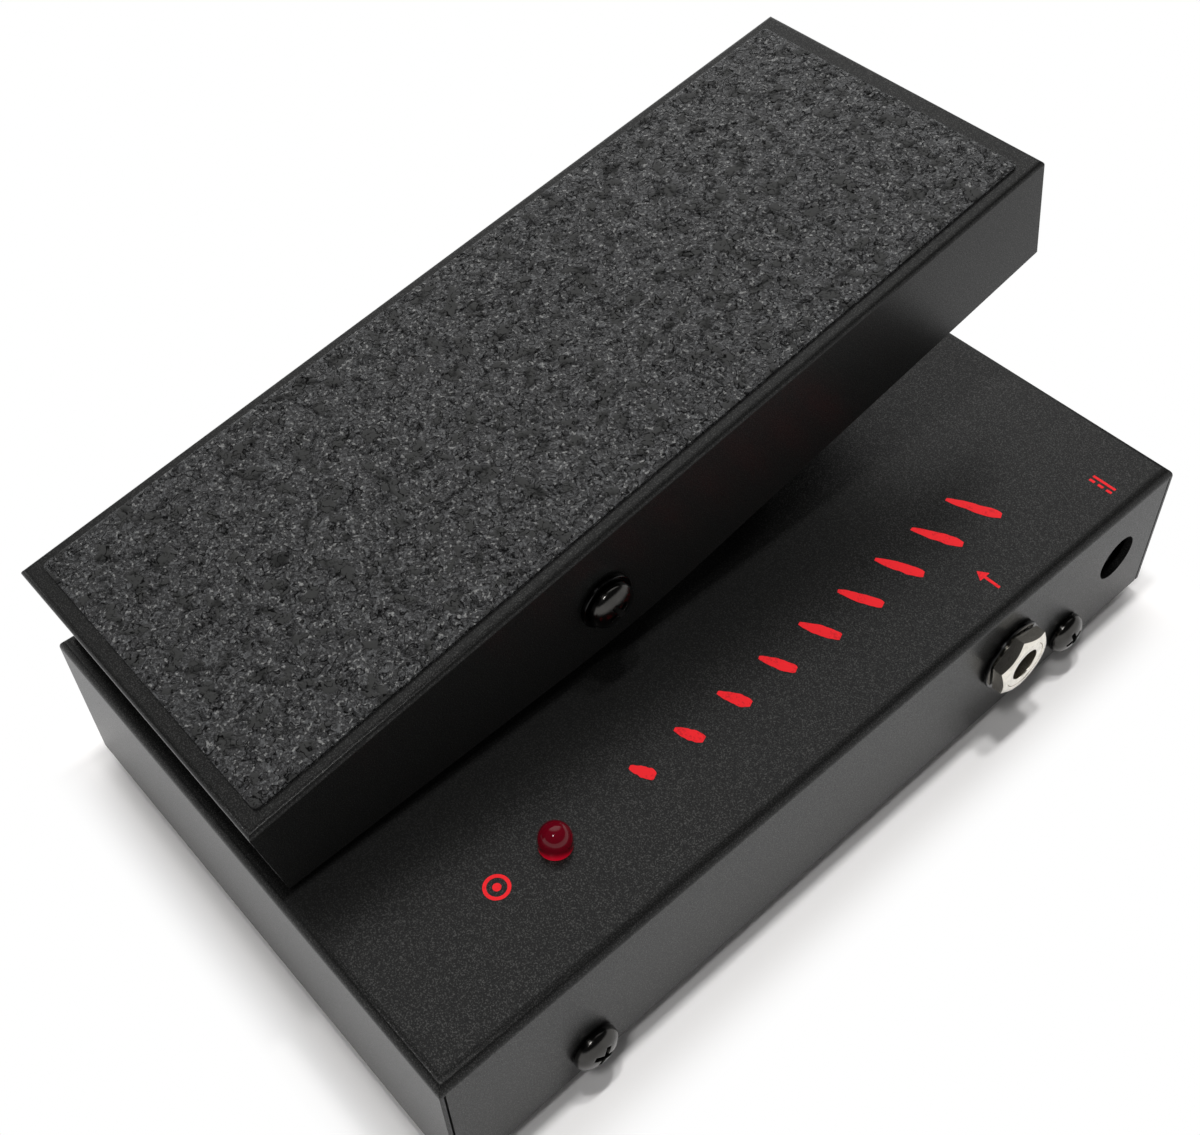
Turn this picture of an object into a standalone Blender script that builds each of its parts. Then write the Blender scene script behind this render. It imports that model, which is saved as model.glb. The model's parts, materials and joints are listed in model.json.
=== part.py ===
"""Compact rocker pedal for an electric guitar, as an assembly of its separate pieces.

A folded sheet-steel case stands on four rubber feet. A sprung treadle rocks on two pivot
screws in a bracket on top of the case, and a blade under it shutters a light sensor inside.
Units are metres. +Y points from the heel end to the toe end, +X to the player's right, +Z up.
The origin is on the floor, under the middle of the pedal.
"""

import math

import bmesh
import bpy
from mathutils import Matrix, Vector

# Clearance that touching pieces keep, and how round things are divided
CLEARANCE = 0.0003
TURN_STEPS = 20
HIDDEN_STEPS = 14
HOLE_STEPS = 16
FOLD_SEGMENTS = 3
CUT_MARGIN = 0.002
WELD_DISTANCE = 1e-6
SHARP_ANGLE = math.radians(35)

# Case: a five-sided folded cover over a bottom plate with two upturned flanges
BASE_LENGTH = 0.174
BASE_WIDTH = 0.107
CASE_HEIGHT = 0.032
FOOT_HEIGHT = 0.004
CASE_SHEET = 0.0015
CASE_BEND_RADIUS = 0.0022
CORNER_SEAM = 0.0007
FLANGE_ABOVE_SCREW = 0.0032

# Rubber feet and their screws
FOOT_RADIUS = 0.0072
FOOT_TAPER = 0.0008
FOOT_INSET_X = 0.013
FOOT_INSET_Y = 0.016
FOOT_RECESS_RADIUS = 0.0042
FOOT_FLOOR = 0.0013
FOOT_SCREW_HEAD_RADIUS = 0.0036
FOOT_SCREW_HEAD_HEIGHT = 0.0014
FOOT_SCREW_HEAD_TAPER = 0.0007
FOOT_SCREW_RADIUS = 0.0015
FOOT_SCREW_LENGTH = 0.007

# Case screws through the side walls into the flanges
CASE_SCREW_FROM_END = 0.027
CASE_SCREW_ABOVE_EDGE = 0.0063
CASE_SCREW_HEAD_RADIUS = 0.0042
CASE_SCREW_HEAD_HEIGHT = 0.0029
CASE_SCREW_RADIUS = 0.002
CASE_SCREW_LENGTH = 0.006

# Share of a pan head's height that is domed, and the cross recess of the visible screws
HEAD_DOME_SHARE = 0.75
RECESS_SPAN = 0.0046
RECESS_BLADE = 0.0011
RECESS_DEPTH = 0.0017

# Quarter-inch jacks, one in each side wall
JACK_FROM_TOE = 0.046
SOCKET_ABOVE_EDGE = 0.0165
JACK_BORE_RADIUS = 0.00325
JACK_BUSHING_RADIUS = 0.0046
JACK_SHOULDER_OVERHANG = 0.0012
JACK_SHOULDER = 0.0012
JACK_BODY_LENGTH = 0.024
JACK_BODY_WIDTH = 0.014
JACK_BORE_DEPTH = 0.021
JACK_NUT_WALL = 0.0011
JACK_NUT_HEIGHT = 0.0026
JACK_NUT_CHAMFER_START = 0.0001
JACK_NUT_CHAMFER_DROP = 0.0006
JACK_NUT_CHAMFER_RUN = 0.0012
JACK_WASHER_BAND = 0.0024
JACK_WASHER_THICKNESS = 0.0008

# Power inlet behind its hole near the toe
INLET_FROM_TOE = 0.013
INLET_HOLE_RADIUS = 0.0049
INLET_SETBACK = 0.0025
INLET_LENGTH = 0.013
INLET_WIDTH = 0.0115
INLET_SOCKET_RADIUS = 0.0032
INLET_SOCKET_DEPTH = 0.0095
INLET_PIN_RADIUS = 0.00105

# Circuit board and what stands on it. Places are X and the distance from the board's toe edge
BOARD_THICKNESS = 0.0016
BOARD_SIDE_MARGIN = 0.0075
BOARD_TOE_MARGIN = 0.003
BOARD_BEHIND_SENSOR = 0.0055
STANDOFF_HEIGHT = 0.006
STANDOFF_RADIUS = 0.003
STANDOFF_INSET_X = 0.008
STANDOFF_INSET_Y = 0.0055
BOARD_SCREW_RADIUS = 0.0013
BOARD_SCREW_HEAD_RADIUS = 0.0026
BOARD_SCREW_HEAD_HEIGHT = 0.0016
BOARD_SCREW_LENGTH = 0.005
RELAY_SIZE = (0.010, 0.020, 0.0105)
RELAY_PLACE = (-0.020, 0.018)
CHIP_SIZE = (0.0064, 0.0095, 0.0034)
CHIP_PLACE = (0.012, 0.024)
INDUCTOR_RADIUS = 0.0075
INDUCTOR_HEIGHT = 0.0115
INDUCTOR_PLACE = (-0.014, 0.037)
CAPACITOR_RADIUS = 0.004
CAPACITOR_HEIGHT = 0.0115
CAPACITOR_PLACE = (0.024, 0.008)

# Indicator lamp in the case top, its holder and its two wires
LED_FROM_RIGHT = 0.0185
LED_FROM_HEEL = 0.0369
LED_RADIUS = 0.0025
LED_FLANGE_OVERHANG = 0.0007
LED_FLANGE = 0.001
LED_STANDS_PROUD = 0.0048
LED_HOLDER_WALL = 0.0015
LED_HOLDER_DEPTH = 0.0045
LED_HOLDER_WIRE_ROOM = 0.0004
WIRE_RADIUS = 0.0006
WIRE_SPACING = 0.0022
WIRE_STEPS = 17
WIRE_ROUNDNESS = 2

# Treadle: a channel of folded sheet whose side walls are deepest by the pivot
TREADLE_OVERHANG = 0.0004
TREADLE_WIDTH = 0.0674
TREADLE_SHEET = 0.0016
TREADLE_BEND_RADIUS = 0.0018
TREADLE_INSET = 0.0004
HEEL_WALL_DEPTH = 0.0182
TOE_WALL_DEPTH = 0.0229
KNEE_WALL_DEPTH = 0.0276
KNEE_FROM_HEEL = 0.070
KNEE_ROUNDING = 0.014
REST_TILT = math.radians(10.33)
PRESSED_TILT = math.radians(-3.0)
PIVOT_FROM_HEEL = 0.065
PIVOT_BELOW_TOP = 0.014
PIVOT_ABOVE_BASE = 0.0173

# Foot pad on the treadle
PAD_SIDE_MARGIN = 0.0029
PAD_HEEL_MARGIN = 0.0032
PAD_TOE_MARGIN = 0.0042
PAD_THICKNESS = 0.0012
PAD_CORNER = 0.001

# Pivot: bracket, screws, washers, nylon bushings and lock nuts
BRACKET_SHEET = 0.002
BRACKET_BEND_RADIUS = 0.0028
BRACKET_LENGTH = 0.020
PIVOT_SCREW_RADIUS = 0.002
PIVOT_HEAD_RADIUS = 0.0037
PIVOT_HEAD_HEIGHT = 0.0026
PIVOT_WASHER_RADIUS = 0.0051
PIVOT_WASHER_THICKNESS = 0.001
BUSHING_RADIUS = 0.0035
BUSHING_FLANGE_RADIUS = 0.0055
BUSHING_FLANGE = 0.001
PIVOT_NUT_ACROSS_FLATS = 0.007
PIVOT_NUT_HEIGHT = 0.0032
SCREW_TIP = 0.0008
BRACKET_SCREW_FROM_MIDDLE = 0.018
BRACKET_SCREW_RADIUS = 0.0015
BRACKET_SCREW_HEAD_RADIUS = 0.003
BRACKET_SCREW_HEAD_HEIGHT = 0.002
BRACKET_NUT_ACROSS_FLATS = 0.0055
BRACKET_NUT_HEIGHT = 0.0024

# Return spring on its seat, and the rubber stops at both ends of the travel
SPRING_FROM_HEEL = 0.092
SPRING_OFFSET_X = -0.006
SPRING_MEAN_RADIUS = 0.0068
SPRING_WIRE_RADIUS = 0.0008
SPRING_TURNS = 7
SPRING_POINTS_PER_TURN = 10
SPRING_ROUNDNESS = 1
SPRING_LEAST_GAP = 0.0004
SPRING_SEAT_RADIUS = 0.0105
SPRING_SEAT_FLOOR = 0.0015
SPRING_SEAT_RIM = 0.001
SPRING_SEAT_BOSS_HEIGHT = 0.006
STOP_RADIUS = 0.006
STOP_DOME = 0.0015
STOP_STEM_RADIUS = 0.002
STOP_STEM_REACH = 0.0015
HEEL_STOP_FROM_HEEL = 0.014
TOE_STOP_FROM_TOE = 0.0244

# Shutter blade under the treadle, its rivets and the sensor that it enters
VANE_FROM_HEEL = 0.105
VANE_OFFSET_X = 0.0234
VANE_SHEET = 0.001
VANE_LENGTH_Y = 0.012
VANE_TIP_GAP = 0.0009
VANE_FOOT = 0.011
RIVET_RADIUS = 0.0014
RIVET_HEAD_RADIUS = 0.0026
RIVET_HEAD_HEIGHT = 0.001
RIVET_HEAD_TAPER = 0.0008
RIVET_FROM_BLADE = 0.006
RIVET_SPACING = 0.0066
SLOT_SIDE_ROOM = 0.0012
SLOT_END_ROOM = 0.0012
SENSOR_ARM = 0.004
SENSOR_LENGTH = 0.013
SENSOR_HEIGHT = 0.012
SENSOR_FLOOR = 0.003

# Places that follow from the sizes above
BASE_EDGE_Z = FOOT_HEIGHT
BASE_TOP_Z = BASE_EDGE_Z + CASE_HEIGHT
PLATE_TOP_Z = BASE_EDGE_Z + CASE_SHEET
COVER_UNDERSIDE_Z = BASE_TOP_Z - CASE_SHEET
HALF_WIDTH = BASE_WIDTH / 2
HALF_LENGTH = BASE_LENGTH / 2
FLANGE_OUTER_X = HALF_WIDTH - CASE_SHEET - CLEARANCE
CASE_SCREW_Y = HALF_LENGTH - CASE_SCREW_FROM_END
CASE_SCREW_Z = BASE_EDGE_Z + CASE_SCREW_ABOVE_EDGE
JACK_Y = HALF_LENGTH - JACK_FROM_TOE
INLET_Y = HALF_LENGTH - INLET_FROM_TOE
SOCKET_AXIS_Z = BASE_EDGE_Z + SOCKET_ABOVE_EDGE
JACK_HOLE_RADIUS = JACK_BUSHING_RADIUS + CLEARANCE
JACK_SHOULDER_RADIUS = JACK_BUSHING_RADIUS + JACK_SHOULDER_OVERHANG
JACK_WASHER_RADIUS = JACK_HOLE_RADIUS + JACK_WASHER_BAND
JACK_NUT_FLAT_RADIUS = JACK_HOLE_RADIUS + JACK_NUT_WALL
LED_FLANGE_RADIUS = LED_RADIUS + LED_FLANGE_OVERHANG
LED_POCKET_RADIUS = LED_FLANGE_RADIUS + CLEARANCE
LED_HOLDER_RADIUS = LED_POCKET_RADIUS + LED_HOLDER_WALL
LED_HOLDER_BORE = WIRE_SPACING / 2 + WIRE_RADIUS + LED_HOLDER_WIRE_ROOM
LED_X = HALF_WIDTH - LED_FROM_RIGHT
LED_Y = LED_FROM_HEEL - HALF_LENGTH
STANDOFF_LOW_Z = PLATE_TOP_Z + CLEARANCE
STANDOFF_HIGH_Z = STANDOFF_LOW_Z + STANDOFF_HEIGHT
BOARD_UNDERSIDE_Z = STANDOFF_HIGH_Z + CLEARANCE
BOARD_TOP_Z = BOARD_UNDERSIDE_Z + BOARD_THICKNESS
BOARD_SEAT_Z = BOARD_TOP_Z + CLEARANCE
BOARD_HALF_WIDTH = HALF_WIDTH - BOARD_SIDE_MARGIN
BOARD_TOE_Y = HALF_LENGTH - BOARD_TOE_MARGIN
TREADLE_LENGTH = BASE_LENGTH + TREADLE_OVERHANG
TREADLE_X = -HALF_WIDTH + TREADLE_INSET + TREADLE_WIDTH / 2
PIVOT_Z = BASE_TOP_Z + PIVOT_ABOVE_BASE
TREADLE_SPAN_Y = TREADLE_LENGTH * math.cos(REST_TILT) + TOE_WALL_DEPTH * math.sin(REST_TILT)
PIVOT_Y = (
    -TREADLE_SPAN_Y / 2
    + PIVOT_FROM_HEEL * math.cos(REST_TILT)
    + PIVOT_BELOW_TOP * math.sin(REST_TILT)
)
WALL_INNER_X = TREADLE_WIDTH / 2 - TREADLE_SHEET
BRACKET_OUTER_X = WALL_INNER_X - BUSHING_FLANGE - 2 * CLEARANCE
BRACKET_FLOOR_Z = BASE_TOP_Z + CLEARANCE
TOE_STOP_FROM_HEEL = TREADLE_LENGTH - TOE_STOP_FROM_TOE
VANE_X = TREADLE_X + VANE_OFFSET_X
VANE_FOOT_Z = PIVOT_BELOW_TOP - TREADLE_SHEET - CLEARANCE
VANE_TOE_EDGE = VANE_FROM_HEEL + VANE_LENGTH_Y / 2
# The blade is as long as the slot of its sensor allows with the treadle pressed
VANE_ROOM = PIVOT_Z - BOARD_SEAT_Z - SENSOR_FLOOR - VANE_TIP_GAP
VANE_REACH = PIVOT_BELOW_TOP + (
    VANE_ROOM + (VANE_TOE_EDGE - PIVOT_FROM_HEEL) * math.sin(PRESSED_TILT)
) / math.cos(PRESSED_TILT)

SIDES = {"right": 1, "left": -1}
ENDS = {"toe": 1, "heel": -1}
AXIS_TO_X = Matrix.Rotation(math.radians(90), 4, "Y")
# Stands a flat outline up, so that its X and Y become world Y and Z
SIDE_VIEW = Matrix(((0, 0, 1, 0), (1, 0, 0, 0), (0, 1, 0, 0), (0, 0, 0, 1)))


class Finish:
    """Plain material values for each kind of piece: colour, roughness and metallic."""

    POWDER_COAT = ("powder_coat", (0.022, 0.022, 0.023), 0.55, 0.0)
    PAD_RUBBER = ("pad_rubber", (0.020, 0.020, 0.021), 0.5, 0.0)
    BLACK_SCREW = ("black_screw", (0.03, 0.028, 0.026), 0.2, 0.9)
    BLACK_WASHER = ("black_washer", (0.012, 0.012, 0.012), 0.2, 0.0)
    NICKEL = ("nickel", (0.75, 0.72, 0.66), 0.15, 1.0)
    ZINC = ("zinc", (0.55, 0.56, 0.58), 0.35, 1.0)
    BLACK_PLASTIC = ("black_plastic", (0.012, 0.012, 0.013), 0.45, 0.0)
    NYLON = ("nylon", (0.75, 0.74, 0.69), 0.5, 0.0)
    FOOT_RUBBER = ("foot_rubber", (0.018, 0.018, 0.018), 0.8, 0.0)
    RED_LENS = ("red_lens", (0.35, 0.004, 0.012), 0.08, 0.0)
    BOARD_GREEN = ("board_green", (0.015, 0.11, 0.045), 0.4, 0.0)
    RED_WIRE = ("red_wire", (0.5, 0.02, 0.02), 0.45, 0.0)
    BLACK_WIRE = ("black_wire", (0.015, 0.015, 0.015), 0.45, 0.0)
    SPRING_STEEL = ("spring_steel", (0.45, 0.45, 0.46), 0.3, 1.0)
    RELAY_CASE = ("relay_case", (0.55, 0.25, 0.04), 0.4, 0.0)
    INDUCTOR_CASE = ("inductor_case", (0.42, 0.06, 0.04), 0.45, 0.0)
    CAPACITOR_SLEEVE = ("capacitor_sleeve", (0.02, 0.03, 0.10), 0.35, 0.0)


def clear_scene():
    """Remove every object of the open scene."""
    for thing in list(bpy.data.objects):
        bpy.data.objects.remove(thing, do_unlink=True)


def new_collection(name):
    collection = bpy.data.collections.new(name)
    bpy.context.scene.collection.children.link(collection)
    return collection


def material_for(finish):
    """The Principled material of a finish, made once."""
    name, colour, roughness, metallic = finish
    material = bpy.data.materials.get(name)
    if material is None:
        material = bpy.data.materials.new(name)
        material.use_nodes = True
        shader = material.node_tree.nodes["Principled BSDF"]
        shader.inputs["Base Color"].default_value = (*colour, 1.0)
        shader.inputs["Roughness"].default_value = roughness
        shader.inputs["Metallic"].default_value = metallic
    return material


def add_part(name, mesh, finish, parent=None, place=None):
    """A named piece, placed by a matrix under an optional parent empty."""
    part = bpy.data.objects.new(name, mesh)
    PARTS.objects.link(part)
    mesh.materials.append(material_for(finish))
    part.parent = parent
    part.matrix_local = place or Matrix.Identity(4)
    return part


def add_cutter(name, mesh, parent=None, place=None):
    """A hidden tool body for a Boolean."""
    cutter = bpy.data.objects.new(name, mesh)
    CUTTERS.objects.link(cutter)
    cutter.parent = parent
    cutter.matrix_local = place or Matrix.Identity(4)
    cutter.hide_render = True
    cutter.display_type = "WIRE"
    return cutter


def combine(part, tool, operation="DIFFERENCE"):
    """Add a Boolean of the tool to the part."""
    boolean = part.modifiers.new(tool.name, "BOOLEAN")
    boolean.operation = operation
    boolean.object = tool
    boolean.solver = "EXACT"


def mesh_from(name, fill):
    """A mesh whose bmesh is filled by the given function."""
    mesh = bpy.data.meshes.new(name)
    shape = bmesh.new()
    fill(shape)
    shape.to_mesh(mesh)
    shape.free()
    return mesh


def box_mesh(name, low, high):
    """A box between two corners."""
    low, high = Vector(low), Vector(high)
    place = Matrix.Translation((low + high) / 2) @ Matrix.Diagonal((*(high - low), 1))
    return mesh_from(name, lambda shape: bmesh.ops.create_cube(shape, size=1, matrix=place))


def round_mesh(name, radius, low, high, segments=HOLE_STEPS):
    """A prism with a regular outline round the Z axis, between two heights."""

    def fill(shape):
        bmesh.ops.create_cone(
            shape,
            cap_ends=True,
            segments=segments,
            radius1=radius,
            radius2=radius,
            depth=high - low,
            matrix=Matrix.Translation((0, 0, (low + high) / 2)),
        )

    return mesh_from(name, fill)


def profile_mesh(name, profile, closed):
    """The wire of a turned profile: radius and height pairs, running down the outer side."""
    mesh = bpy.data.meshes.new(name)
    count = len(profile)
    edges = [(i, i + 1) for i in range(count - 1)]
    if closed:
        edges.append((count - 1, 0))
    mesh.from_pydata([(radius, 0, height) for radius, height in profile], edges, [])
    return mesh


def turn(thing, steps):
    """Turn a profile into a round body with a Screw modifier."""
    screw = thing.modifiers.new("turned", "SCREW")
    screw.angle = math.tau
    screw.steps = steps
    screw.render_steps = steps
    screw.axis = "Z"
    screw.use_merge_vertices = True
    screw.merge_threshold = WELD_DISTANCE
    screw.use_smooth_shade = False


def add_turned(name, profile, finish, parent=None, place=None, ring=False, steps=TURN_STEPS):
    """A turned piece: a ring with a bore, or a solid whose profile starts and ends on the axis."""
    part = add_part(name, profile_mesh(name, profile, ring), finish, parent, place)
    turn(part, steps)
    return part


def outline_mesh(name, points, low, high):
    """A flat outline in X and Y, made thick from one height to another."""
    curve = bpy.data.curves.new(name, "CURVE")
    curve.dimensions = "2D"
    curve.fill_mode = "BOTH"
    curve.extrude = (high - low) / 2
    spline = curve.splines.new("POLY")
    spline.points.add(len(points) - 1)
    for point, (x, y) in zip(spline.points, points):
        point.co = (x, y, 0, 1)
    spline.use_cyclic_u = True
    mesh = solid_of_curve(name, curve)
    mesh.transform(Matrix.Translation((0, 0, (low + high) / 2)))
    return mesh


def solid_of_curve(name, curve):
    """The closed mesh of a curve, with its caps welded on."""
    guide = bpy.data.objects.new(name + "_guide", curve)
    bpy.context.scene.collection.objects.link(guide)
    graph = bpy.context.evaluated_depsgraph_get()
    mesh = bpy.data.meshes.new_from_object(guide.evaluated_get(graph))
    bpy.data.objects.remove(guide, do_unlink=True)
    bpy.data.curves.remove(curve)
    mesh.materials.clear()
    shape = bmesh.new()
    shape.from_mesh(mesh)
    bmesh.ops.remove_doubles(shape, verts=shape.verts, dist=WELD_DISTANCE)
    bmesh.ops.recalc_face_normals(shape, faces=shape.faces)
    shape.to_mesh(mesh)
    shape.free()
    mesh.name = name
    return mesh


def tube_mesh(name, points, radius, resolution):
    """A round tube with filled ends along a row of points."""
    curve = bpy.data.curves.new(name, "CURVE")
    curve.dimensions = "3D"
    curve.bevel_depth = radius
    curve.bevel_resolution = resolution
    curve.use_fill_caps = True
    spline = curve.splines.new("POLY")
    spline.points.add(len(points) - 1)
    for point, place in zip(spline.points, points):
        point.co = (*place, 1)
    return solid_of_curve(name, curve)


def folded_sheet(part, bend_radius, sheet):
    """Round the marked folds of an open surface and thicken it inwards to the sheet's gauge."""
    bevel = part.modifiers.new("folds", "BEVEL")
    bevel.limit_method = "WEIGHT"
    bevel.width = bend_radius
    bevel.segments = FOLD_SEGMENTS
    solidify = part.modifiers.new("sheet", "SOLIDIFY")
    solidify.thickness = sheet
    solidify.offset = -1
    solidify.use_even_offset = True


def channel_mesh(name, corners, ends):
    """An open channel: a bent line in X and Z drawn along Y between two ends, its folds marked.

    The outer side lies to the right of the line, seen with +X to the right and +Z up.
    """

    def fill(shape):
        near, far = [[shape.verts.new((x, y, z)) for x, z in corners] for y in ends]
        for i in range(len(corners) - 1):
            shape.faces.new((near[i], far[i], far[i + 1], near[i + 1]))
        weight = shape.edges.layers.float.new("bevel_weight_edge")
        for edge in shape.edges:
            if len(edge.link_faces) == 2:
                edge[weight] = 1.0

    return mesh_from(name, fill)


def cross_outline(span, blade):
    """The outline of a cross recess."""
    half, thin = span / 2, blade / 2
    corner = [(half, thin), (thin, thin), (thin, half)]
    points = []
    for quarter in range(4):
        turn_by = Matrix.Rotation(quarter * math.pi / 2, 2)
        points += [tuple(turn_by @ Vector(point)) for point in corner]
    return points


def rounded_corner(before, corner, after, reach, steps=6):
    """Points of a smooth bend that replaces a corner of an outline."""
    before, corner, after = Vector(before), Vector(corner), Vector(after)
    start = corner + (before - corner).normalized() * reach
    end = corner + (after - corner).normalized() * reach
    points = []
    for step in range(steps + 1):
        t = step / steps
        points.append(tuple(start * (1 - t) ** 2 + corner * 2 * t * (1 - t) + end * t**2))
    return points


def dome_profile(radius, height, base, steps=4):
    """The outer profile of a domed head, from its crown down to its rim."""
    points = [(0, base + height)]
    for step in range(1, steps + 1):
        angle = step / steps * math.pi / 2
        points.append((radius * math.sin(angle), base + height * math.cos(angle)))
    return points


def screw_profile(head_radius, head_height, shank_radius, shank_length):
    """A pan-head screw whose head sits on height zero, with a chamfered tip below."""
    dome = head_height * HEAD_DOME_SHARE
    return dome_profile(head_radius, dome, head_height - dome) + [
        (head_radius, 0),
        (shank_radius, 0),
        (shank_radius, -shank_length + SCREW_TIP),
        (shank_radius - SCREW_TIP / 2, -shank_length),
        (0, -shank_length),
    ]


def add_cross_head_screw(name, head, shank, finish, place, parent=None):
    """A pan-head screw with a cross recess. head and shank are radius and length pairs."""
    part = add_turned(name, screw_profile(*head, *shank), finish, parent, place)
    low, high = head[1] - RECESS_DEPTH, head[1] + CUT_MARGIN
    mesh = outline_mesh(name + "_recess", cross_outline(RECESS_SPAN, RECESS_BLADE), low, high)
    combine(part, add_cutter(name + "_recess", mesh, parent, place))
    return part


def drill(part, name, radius, start, axis_matrix, length, parent=None):
    """Cut a round hole from a starting point along the turned Z axis of a matrix."""
    mesh = round_mesh(name, radius, -CUT_MARGIN, length + CUT_MARGIN)
    place = Matrix.Translation(start) @ axis_matrix
    combine(part, add_cutter(name, mesh, parent, place))


def add_hex_nut(name, across_flats, height, bore_radius, finish, place, parent=None):
    """A plain hexagon nut standing on height zero."""
    mesh = round_mesh(name, across_flats / math.sqrt(3), 0, height, segments=6)
    part = add_part(name, mesh, finish, parent, place)
    bore = round_mesh(name + "_bore", bore_radius, -CUT_MARGIN, height + CUT_MARGIN)
    combine(part, add_cutter(name + "_bore", bore, parent, place))
    return part


def side_matrix(side):
    """Turns +Z to point out of the right or the left side wall."""
    return AXIS_TO_X if side > 0 else AXIS_TO_X.inverted()


def on_treadle(from_heel, below_top):
    """A place on the treadle as Y and Z measured from the pivot, with the treadle level."""
    return from_heel - PIVOT_FROM_HEEL, PIVOT_BELOW_TOP - below_top


def in_world(from_heel, below_top, tilt):
    """World Y and Z of a place on the treadle at a tilt."""
    y, z = on_treadle(from_heel, below_top)
    turned_y = y * math.cos(tilt) - z * math.sin(tilt)
    turned_z = y * math.sin(tilt) + z * math.cos(tilt)
    return PIVOT_Y + turned_y, PIVOT_Z + turned_z


def underside_z(world_y, tilt):
    """Height of the treadle plate's underside above a world Y, at a tilt."""
    heel_y, heel_z = in_world(0, TREADLE_SHEET, tilt)
    return heel_z + (world_y - heel_y) * math.tan(tilt)


def vane_y_at(height, from_heel, tilt):
    """World Y where an edge of the shutter blade crosses a height, at a tilt."""
    top_y, top_z = in_world(from_heel, 0, tilt)
    return top_y + (top_z - height) * math.tan(tilt)


def case_screw_place(side, end):
    """Seat of a case screw on a side wall."""
    seat = (side * (HALF_WIDTH + CLEARANCE), end * CASE_SCREW_Y, CASE_SCREW_Z)
    return Matrix.Translation(seat) @ side_matrix(side)


def foot_place(side, end):
    """Middle of a foot on the floor."""
    return Vector((side * (HALF_WIDTH - FOOT_INSET_X), end * (HALF_LENGTH - FOOT_INSET_Y), 0))


def bracket_screw_place(offset):
    """Seat of a bracket screw on the bracket's floor."""
    return Vector((TREADLE_X + offset, PIVOT_Y, BRACKET_FLOOR_Z + BRACKET_SHEET + CLEARANCE))


def sensor_y():
    """World Y of the sensor's middle, under the middle of the blade tip's sweep."""
    sweep = [in_world(VANE_FROM_HEEL, VANE_REACH, tilt)[0] for tilt in (REST_TILT, PRESSED_TILT)]
    return sum(sweep) / len(sweep)


def board_heel_y():
    """World Y of the board's heel edge, a little behind the sensor."""
    return sensor_y() - SENSOR_LENGTH / 2 - BOARD_BEHIND_SENSOR


def stop_y(from_heel, tilt):
    """World Y of a rubber stop, under its place on the treadle."""
    return in_world(from_heel, TREADLE_SHEET, tilt)[0]


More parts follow.
